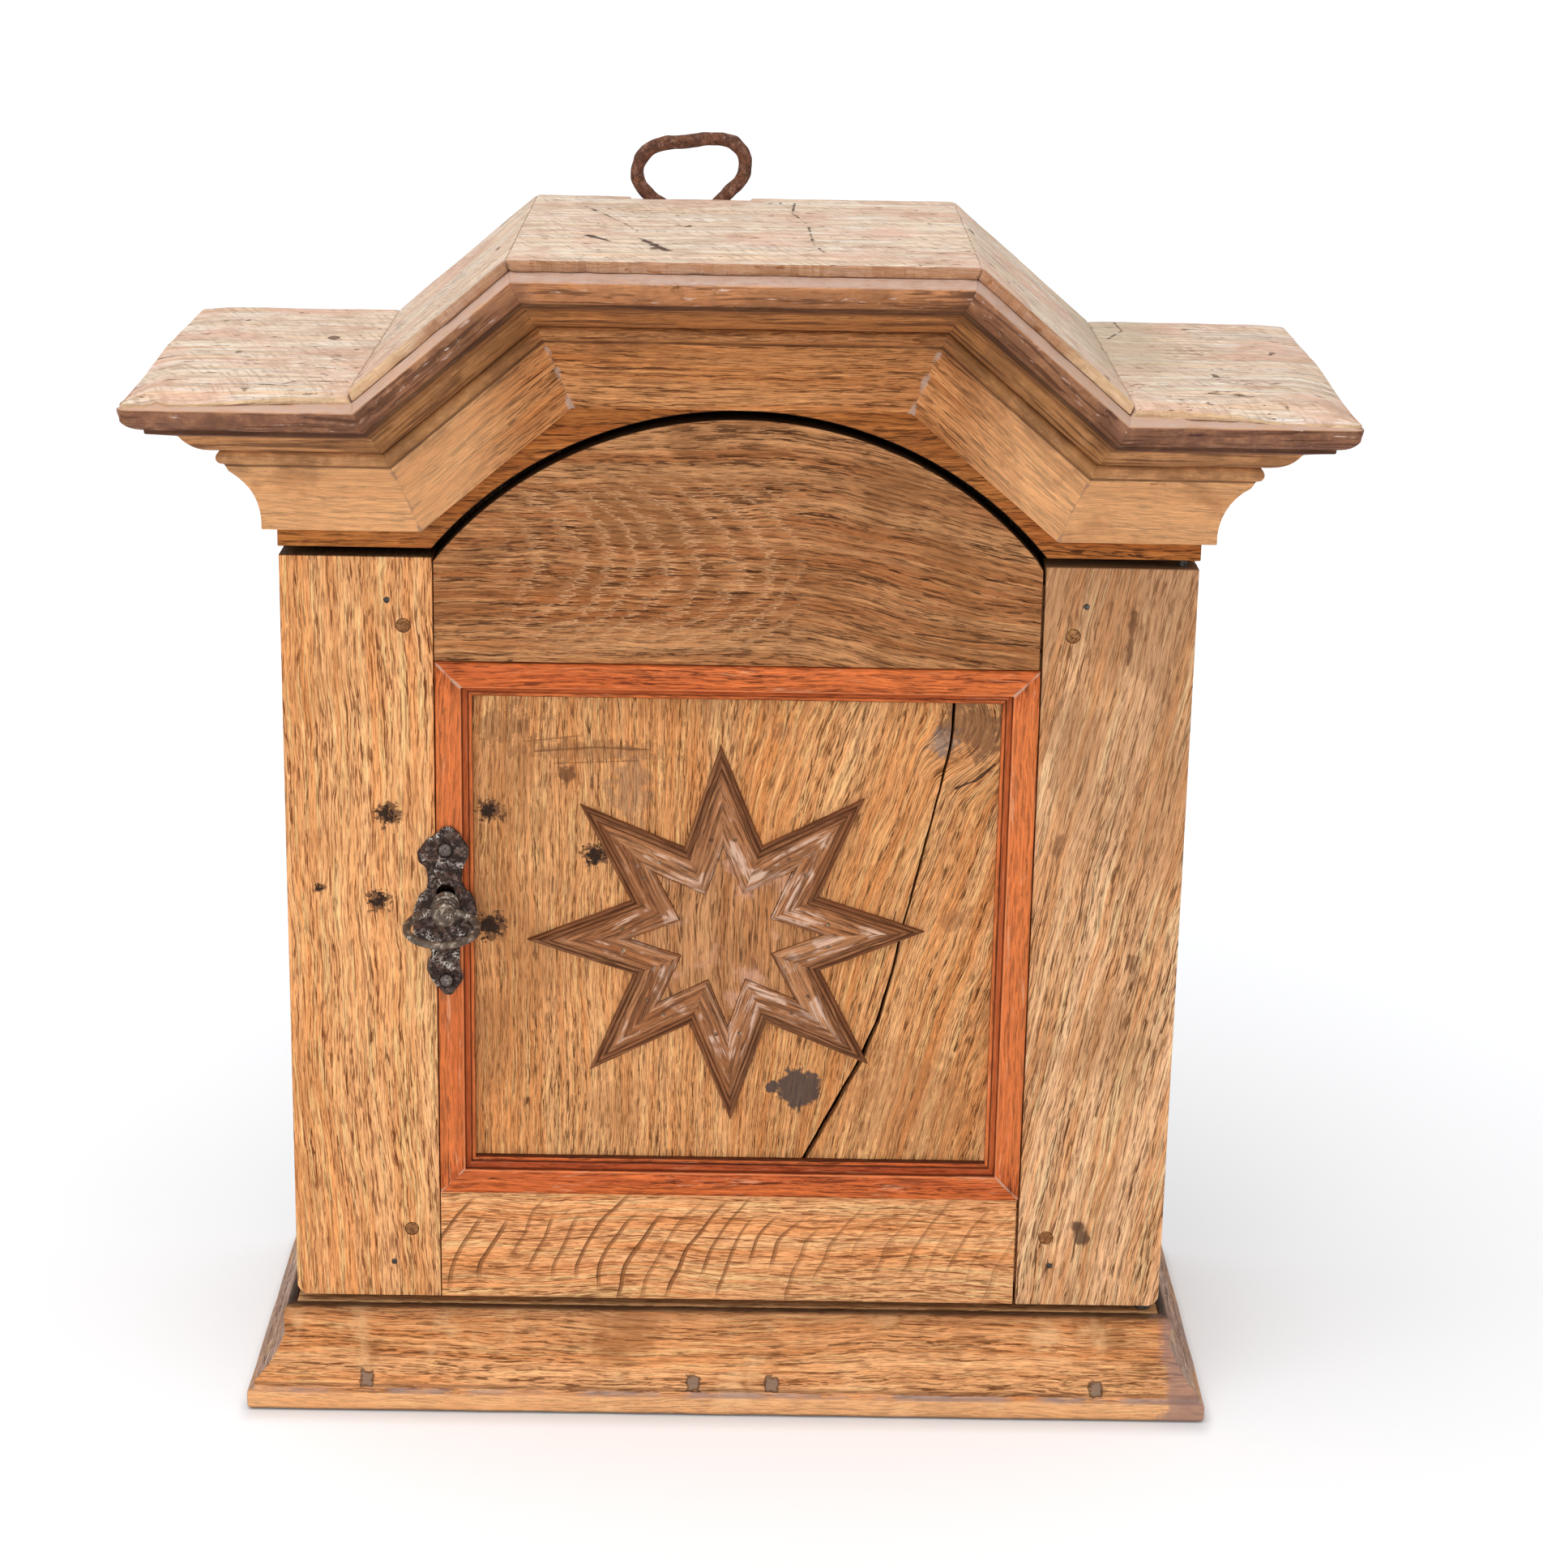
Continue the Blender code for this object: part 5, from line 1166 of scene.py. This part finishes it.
# Black round the key, seen through the keyhole: painted shade inside the keyhole.
stain(red_oak, KEY_AT, KEYHOLE_REACH, paint(16, 10, 8), 0.95, (1, 0.05, 1), 0.0)
red_oak.roughness = red_oak.roughness - 0.12
red_finish = lay_on(red_oak)
frame_nodes = [f"panel_moulding_{side}" for side in ("bottom", "right", "top", "left")]
frame_line = worn(frame_profile, 0.0006)
for length in run_mouldings(frame_nodes, frame_line, frame_corners, (0.00018, 0.018), 42, open_keyhole, True):
    settle(length.piece, "door", "red_stained_oak", red_finish, length.node)


# Star: sixteen mitred strips of dark oak planted on the panel round an eight-pointed core, a little askew.
# The strips have two fine beads along their outer edge, rubbed pale in places.

STAR_AT = Vector((-0.005, PLANTED, 0.3085))
STAR_TURN = math.radians(-2.1)
PLAIN_STAR_AT = Vector((-0.005, PLANTED, 0.310))
STAR_TIP = 0.122
STAR_NOTCH = 0.062
STAR_POINTS = 8
STRIP_SEED = 50
CORE_SEED = 70
HALF_TURN = math.pi / STAR_POINTS

strip_profile = [(0, 0), (0.0018, 0.0)] + bow((0.0026, 0.0002), (0.0030, 0.0020), -0.0006, 5)
strip_profile += [(0.0026, 0.0024)] + bow((0.0034, 0.0027), (0.0040, 0.0046), -0.0006, 5)
strip_profile += [(0.0036, 0.0050), (0.0046, 0.0054), (0.0057, 0.0090), (0.0058, 0.0190), (0.0046, 0.0215),
                  (0, 0.0215)]


def star_way(turn):
    """The way out from the star's middle, turned clockwise from a little left of upright."""
    return Vector((math.sin(turn + STAR_TURN), 0, math.cos(turn + STAR_TURN)))


def star_strip(index, hand, finish):
    """The strip on the left or right side of a star point, with the pin that holds it."""
    side = "right" if hand > 0 else "left"
    tip_turn = 2 * HALF_TURN * index
    notch_turn = tip_turn + hand * HALF_TURN
    tip, notch = STAR_AT + star_way(tip_turn) * STAR_TIP, STAR_AT + star_way(notch_turn) * STAR_NOTCH
    tip_out = -hand * star_way(tip_turn + math.pi / 2)
    notch_out = hand * star_way(notch_turn + math.pi / 2)
    ends = [(STAR_AT - tip_out * MITRE_GAP, tip_out), (STAR_AT - notch_out * MITRE_GAP, notch_out)]
    start, end = (notch, tip) if hand > 0 else (tip, notch)
    line = worn(strip_profile, 0.0003)
    strip = moulded_run(f"star_strip_{index + 1}_{side}", line, start, end, FORWARD, ends)
    run = end - start
    lay_grain(strip, run, FORWARD, STRIP_SEED + 2 * index + hand, start)
    spot = start + run * (0.5 - 0.34 * hand) + FORWARD.cross(run).normalized() * 0.0135 + FORWARD * 0.0057
    pin = nail_head(f"star_pin_{index + 1}_{side}", spot, 0.0014, 0.0003)
    settle(pin, "door", "forged_iron", finish)
    return strip


star_oak = oak("star_oak", paint(186, 130, 88), paint(162, 106, 68), paint(88, 50, 28), slits=0.75)
inward_way = star_oak.grain.part("X")
rubbed = star_oak.bent.cloud((420, 420, 40), 3, 0.65).ramp(0.47, 0.60) * inward_way.ramp(0.006, 0.009)
rubbed = rubbed * star_oak.place.cloud((50, 50, 50), 3).ramp(0.46, 0.56)
star_oak.cover(paint(218, 184, 162), rubbed * 0.70)
# Dark lines in the quirks beside the beads: painted shade in the creases.
star_quirk = inward_way.between(0.0022, 0.0026, 0.0002) + inward_way.between(0.0048, 0.0053, 0.0002)
star_oak.cover(paint(48, 28, 16), star_quirk * 0.70)
# Darker towards the outer edge: painted shade on the outer beads and slope.
star_oak.cover(paint(88, 50, 30), inward_way.ramp(0.0085, 0.001) * 0.55)
star_oak.cover(paint(70, 40, 24), star_oak.bent.cloud((360, 360, 16), 3, 0.6).ramp(0.50, 0.60) * 0.55)
star_oak.cover(paint(216, 172, 140), inward_way.between(0.0188, 0.0200, 0.0004) * 0.25)
star_finish = lay_on(star_oak)
pin_iron = iron("pin_iron", paint(112, 80, 56), paint(214, 188, 158), paint(84, 52, 34), 0.5, 0.8, 0.0)
pin_finish = lay_iron(pin_iron)
for index in range(STAR_POINTS):
    node = f"star_point_{index + 1}"
    strips = [star_strip(index, hand, pin_finish) for hand in (-1, 1)]
    take_up(strips[0])
    strips[1].select_set(True)
    bpy.ops.object.join()
    point = bpy.context.object
    point.name = point.data.name = node + "_strips"
    roughen(point, node, 0.0002, 0.012, 0.007)
    settle(point, "door", "brown_oak", star_finish, node)

core_oak = oak("core_oak", paint(202, 146, 98), paint(180, 122, 76), paint(112, 68, 38))
blotch(core_oak, 0.02, paint(206, 158, 134), 0.5, 0.54, 0.70)
core = plank("star_core", "door", "honey_oak", lay_on(core_oak), UPWARD, FORWARD, CORE_SEED, 0.0004)
askew = Matrix.Rotation(STAR_TURN, 3, "Y")
for vert in core.data.vertices:
    vert.co = STAR_AT + askew @ (vert.co - PLAIN_STAR_AT)


# Escutcheon: a lock plate forged from sheet iron and filed to shape, nailed over the moulding.
# It is dark and pitted, with flecks of old whitewash in the pits.

PLATE_BACK = -0.0758
PLATE_FACE = -0.0778
PLATE_NAILS = {"upper": 0.3653, "lower": 0.2814}
PLATE_LINE = [(1.9, 48.9), (8.1, 44.7), (10.2, 41.6), (13.8, 35.5), (12.8, 27.9), (10.6, 22.5), (10.6, 11.8),
              (16.7, 5), (18.5, -3.4), (18.2, -11.1), (15.3, -21.8), (9.9, -25.6), (8.4, -34), (8.4, -41.6),
              (10.2, -47), (6.6, -53.9), (1.6, -59.0), (-4.9, -55.4), (-9.9, -48.5), (-12.1, -40.1),
              (-9.2, -33.2), (-12.5, -26.4), (-19.4, -20.2), (-19.8, -11.8), (-19.0, -2.7), (-16.1, 4.2),
              (-12.1, 9.5), (-12.1, 21.8), (-15, 24.8), (-16.8, 31.7), (-12.8, 37.8), (-7.1, 43.2)]


def forged_plate(name, outline, back, face, round_over):
    """Sheet iron cut to an outline seen from the front, with its edges filed round."""
    half = (back - face) / 2
    plate = drawn_smooth(name, [(x, z, 0) for x, z in outline], True, dimensions="2D", fill_mode="BOTH",
                         extrude=half - round_over, bevel_depth=round_over, bevel_resolution=1,
                         offset=-round_over, resolution_u=9)
    for vert in plate.data.vertices:
        vert.co = (vert.co.x, face + half - vert.co.z, vert.co.y)
    edit(plate)
    bpy.ops.mesh.remove_doubles(threshold=0.00001)
    close_up()
    return plate


def limewash(coat, low, high):
    """Thin curly remains of old whitewash, in patches where the noise passes from low to high."""
    curls = abs(coat.place.cloud((380, 380, 380), 2, 0.6) - 0.5).ramp(0.060, 0.020)
    remains = curls * coat.place.cloud((100, 100, 100), 3, 0.6).ramp(low, high)
    coat.cover(paint(226, 214, 202), remains * 0.85)
    coat.roughness = coat.roughness + remains * 0.25
    coat.metal = coat.metal * (1 - remains)
    coat.height = coat.height + remains * 0.8


plate_iron = iron("plate_iron", paint(54, 43, 39), paint(106, 88, 80), paint(98, 66, 54), 0.35)
limewash(plate_iron, 0.50, 0.64)
# A dark ring round each nail head: painted shade at the foot of its dome.
for height in PLATE_NAILS.values():
    nail_at = (KEY_AT.x, PLATE_FACE, height)
    stain(plate_iron, nail_at, 0.0058, paint(30, 23, 20), 0.85, ragged=0.6, core=0.75)
plate_finish = lay_iron(plate_iron, 0.0010)
head_finish = lay_iron(iron("head_iron", paint(98, 88, 82), paint(150, 139, 130), paint(100, 72, 56), 0.2))
plate_outline = [(KEY_AT.x + x * MILLIMETRE, KEY_AT.z + z * MILLIMETRE) for x, z in PLATE_LINE]
plate = forged_plate("escutcheon_plate", plate_outline, PLATE_BACK, PLATE_FACE, 0.0006)
roughen(plate, "escutcheon", 0.0007, 0.0045)
cut_with(plate, keyhole_tool())
settle(plate, "door", "forged_iron", plate_finish, "escutcheon")
for which, height in PLATE_NAILS.items():
    node = f"escutcheon_nail_{which}"
    rise = abs(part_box(node)[0].y - PLATE_FACE)
    head = nail_head(node + "_forged", (KEY_AT.x, PLATE_FACE, height), 0.0039, rise, 0.1)
    settle(head, "door", "forged_iron", head_finish, node)


# Lock: an iron case on the back of the door, with the bolt that shoots past its edge.
# The case is a plain tray of folded sheet; the bolt is bright where it slides.

bolt_iron = iron("bolt_steel", paint(104, 98, 92), paint(150, 144, 136), paint(112, 76, 52), 0.1, 0.40, 0.9)
bolt_finish = lay_iron(bolt_iron)
settle(eased_copy("lock_case", "folded", 0.0006, 0.002), "door", "forged_iron", hidden_iron, "lock_case")
settle(eased_copy("lock_bolt", "filed", 0.0004, 0.001), "bolt", "forged_iron", bolt_finish, "lock_bolt")


# Key: a forged key whose bow is an oval ring that droops forward, on a collar turned in rings.
# Its shank ends in a flat bit inside the lock. It is dark steel, bright where it is held.

BOW_DROOP = 0.25
BOW_MIDDLE = -0.1042
BOW_DEPTH = 0.018
BOW_WIDTH = 0.0212
BOW_KNOTS = 16
COLLAR_BACK = -0.0781
RIDGE = 0.0034
RIDGES = 4
SHANK_RADIUS = 0.0030
SHANK_END = -0.0345
BIT_LONG = 0.0125
BIT_PLACE = -0.0392


def collar_stations():
    """Radius and place of each disc of the key: a thin shank, four ridges and a rounded end."""
    stations = [(SHANK_RADIUS, SHANK_END), (SHANK_RADIUS, COLLAR_BACK)]
    for number in range(RIDGES):
        back = COLLAR_BACK - RIDGE * number
        crest = 0.0084 - 0.0003 * number
        stations += [(0.76 * crest, back - 0.0002), (crest, back - 0.0008)]
        stations += [(crest, back - 0.0022), (0.76 * crest, back - 0.0028)]
    tip = COLLAR_BACK - RIDGES * RIDGE
    return stations + [(0.0058, tip), (0.0064, tip - 0.0010), (0.0048, tip - 0.0022), (0.0020, tip - 0.0026)]


def turned_shank(name, stations):
    """A round bar along the key's axis, drawn out disc by disc to the radius at each station."""
    radius, place = stations[0]
    upright = (math.pi / 2, 0, 0)
    bpy.ops.object.select_all(action="DESELECT")
    bpy.ops.mesh.primitive_circle_add(vertices=28, radius=radius, fill_type="NGON", rotation=upright,
                                      location=(KEY_AT.x, place, KEY_AT.z))
    shank = bpy.context.object
    shank.name = shank.data.name = name
    bpy.ops.object.transform_apply(location=True, rotation=True)
    edit(shank)
    for next_radius, next_place in stations[1:]:
        bpy.ops.mesh.extrude_region_move(TRANSFORM_OT_translate={"value": (0, next_place - place, 0)})
        bpy.ops.transform.resize(value=[next_radius / radius] * 3)
        radius, place = next_radius, next_place
    close_up()
    return shank


def bow_point(turn):
    """A point of the bow's oval, lower the further forward it lies."""
    forward = BOW_DEPTH * (1 - math.sin(turn))
    drop = BOW_DROOP * (forward + 0.008)
    offset = Vector((BOW_WIDTH * math.cos(turn), BOW_MIDDLE + BOW_DEPTH - forward, -drop))
    return KEY_AT + offset


def key_bit():
    """The flat bit that stands out from the shank's end."""
    bpy.ops.object.select_all(action="DESELECT")
    bpy.ops.mesh.primitive_cube_add(size=1.0)
    bit = bpy.context.object
    for vert in bit.data.vertices:
        x, y, z = vert.co
        vert.co = KEY_AT + Vector(((x + 0.5) * BIT_LONG, BIT_PLACE + y * 0.006, z * 0.003))
    ease(bit, 0.0004, 0.001)
    return bit


key_steel = iron("key_steel", paint(92, 80, 70), paint(166, 150, 134), paint(112, 80, 60), 0.25, 0.45, 0.55)
limewash(key_steel, 0.56, 0.64)
key_finish = lay_iron(key_steel, 0.0004)
key = turned_shank("key_forged", collar_stations())
for vert in key.data.vertices:
    vert.co.z -= BOW_DROOP * max(0.0, COLLAR_BACK - vert.co.y)
bow_points = [bow_point(2 * math.pi * i / BOW_KNOTS) for i in range(BOW_KNOTS)]
ring = bent_rod("key_bow_ring", bow_points, 0.0026, True, 0.2)
bit = key_bit()
take_up(key)
ring.select_set(True)
bit.select_set(True)
bpy.ops.object.join()
roughen(key, "key", 0.0003, 0.005, 0.006)
settle(key, "key", "key_steel", key_finish, "key")


# Where the glow stops short, the floor round the foot is darker: painted shade besides the real shadow.
# Floor, light and camera: a white studio floor under two broad soft lights, one overhead and one in front.
# Only the camera and mirrors see the floor's glow, which stops short of the base to keep its shadow.
# The camera stands where the photograph was taken, a little above the cabinet's top.

FLOOR_COLOUR = (0.79, 0.80, 0.82, 1.0)
NEAR_GLOW = 0.22
FAR_GLOW = 0.26
SKY_LIGHT = 0.70
BASE_HALF_WIDTH = 0.298
BASE_HALF_DEPTH = 0.1245
BASE_MIDDLE = 0.026
CAMERA_AT = (0.0048, -2.00613, 1.00505)
CAMERA_TURNS = (math.radians(-0.49), math.radians(17.14), math.radians(-1.06))
CABINET_MIDDLE = 0.45


def seen(bare):
    """1 for what the camera sees, straight, mirrored or through glass, and 0 for light on the object."""
    sights = [bare.node("ShaderNodeLightPath", output=f"Is {kind} Ray")
              for kind in ("Camera", "Glossy", "Transmission")]
    return sights[0] + sights[1] + sights[2]


def grey(level):
    """A level of light as a colour."""
    return level.node("ShaderNodeCombineColor", links={"Red": level, "Green": level, "Blue": level})


bpy.ops.object.select_all(action="DESELECT")
bpy.ops.mesh.primitive_plane_add(size=60.0)
floor = bpy.context.object
floor.name = "studio_floor"
white = bpy.data.materials.new("studio_white")
white.use_nodes = True
sheet = Tone(white.node_tree)
floor_shader = white.node_tree.nodes["Principled BSDF"]
floor_shader.inputs["Base Color"].default_value = FLOOR_COLOUR
floor_shader.inputs["Roughness"].default_value = 0.9
floor_shader.inputs["Emission Strength"].default_value = 1.0
floor_place = sheet.node("ShaderNodeTexCoord", output="Object")
spread = floor_place.length().ramp(0.4, 2.2)
aside = (abs(floor_place.part("X")) - BASE_HALF_WIDTH).most(0.0)
ahead = (abs(floor_place.part("Y") - BASE_MIDDLE) - BASE_HALF_DEPTH).most(0.0)
# The glow fades out within a few centimetres of the base: painted shade round its foot, over the real shadow.
clear = (aside * 2.0).hypotenuse(ahead).ramp(0.003, 0.024)
glow = seen(sheet) * (clear * NEAR_GLOW + spread * FAR_GLOW)
sheet.feed(grey(glow), floor_shader.inputs["Emission Color"])
floor.data.materials.append(white)

world = bpy.data.worlds.new("studio_world")
bpy.context.scene.world = world
world.use_nodes = True
sky = Tone(world.node_tree)
background = world.node_tree.nodes["Background"]
background.inputs["Strength"].default_value = 1.0
sky.feed(grey(SKY_LIGHT + seen(sky) * 0.30), background.inputs["Color"])


def soft_light(name, at, aim, size, power):
    """A square studio light that faces the cabinet."""
    lamp = bpy.data.lights.new(name, "AREA")
    lamp.size = size
    lamp.energy = power
    light = bpy.data.objects.new(name, lamp)
    light.location = at
    light.rotation_euler = (Vector(aim) - Vector(at)).to_track_quat("-Z", "Y").to_euler()
    bpy.context.scene.collection.objects.link(light)


soft_light("overhead_light", (-0.4, -0.7, 2.6), (0, 0, 0.40), 1.8, 28)
soft_light("front_light", (-0.4, -3.0, CABINET_MIDDLE), (0, 0, CABINET_MIDDLE), 2.0, 50)

lens = bpy.data.cameras.new("photo_camera")
lens.lens = 77.15
lens.sensor_width = 36.0
lens.sensor_fit = "AUTO"
camera = bpy.data.objects.new("photo_camera", lens)
yaw, pitch, roll = CAMERA_TURNS
aim = Matrix.Rotation(yaw, 4, "Z") @ Matrix.Rotation(-pitch, 4, "X")
aim = aim @ Matrix.Rotation(roll, 4, "Y") @ Matrix.Rotation(math.pi / 2, 4, "X")
camera.matrix_world = Matrix.Translation(CAMERA_AT) @ aim
bpy.context.scene.collection.objects.link(camera)
bpy.context.scene.camera = camera
bpy.context.scene.view_settings.view_transform = "Standard"
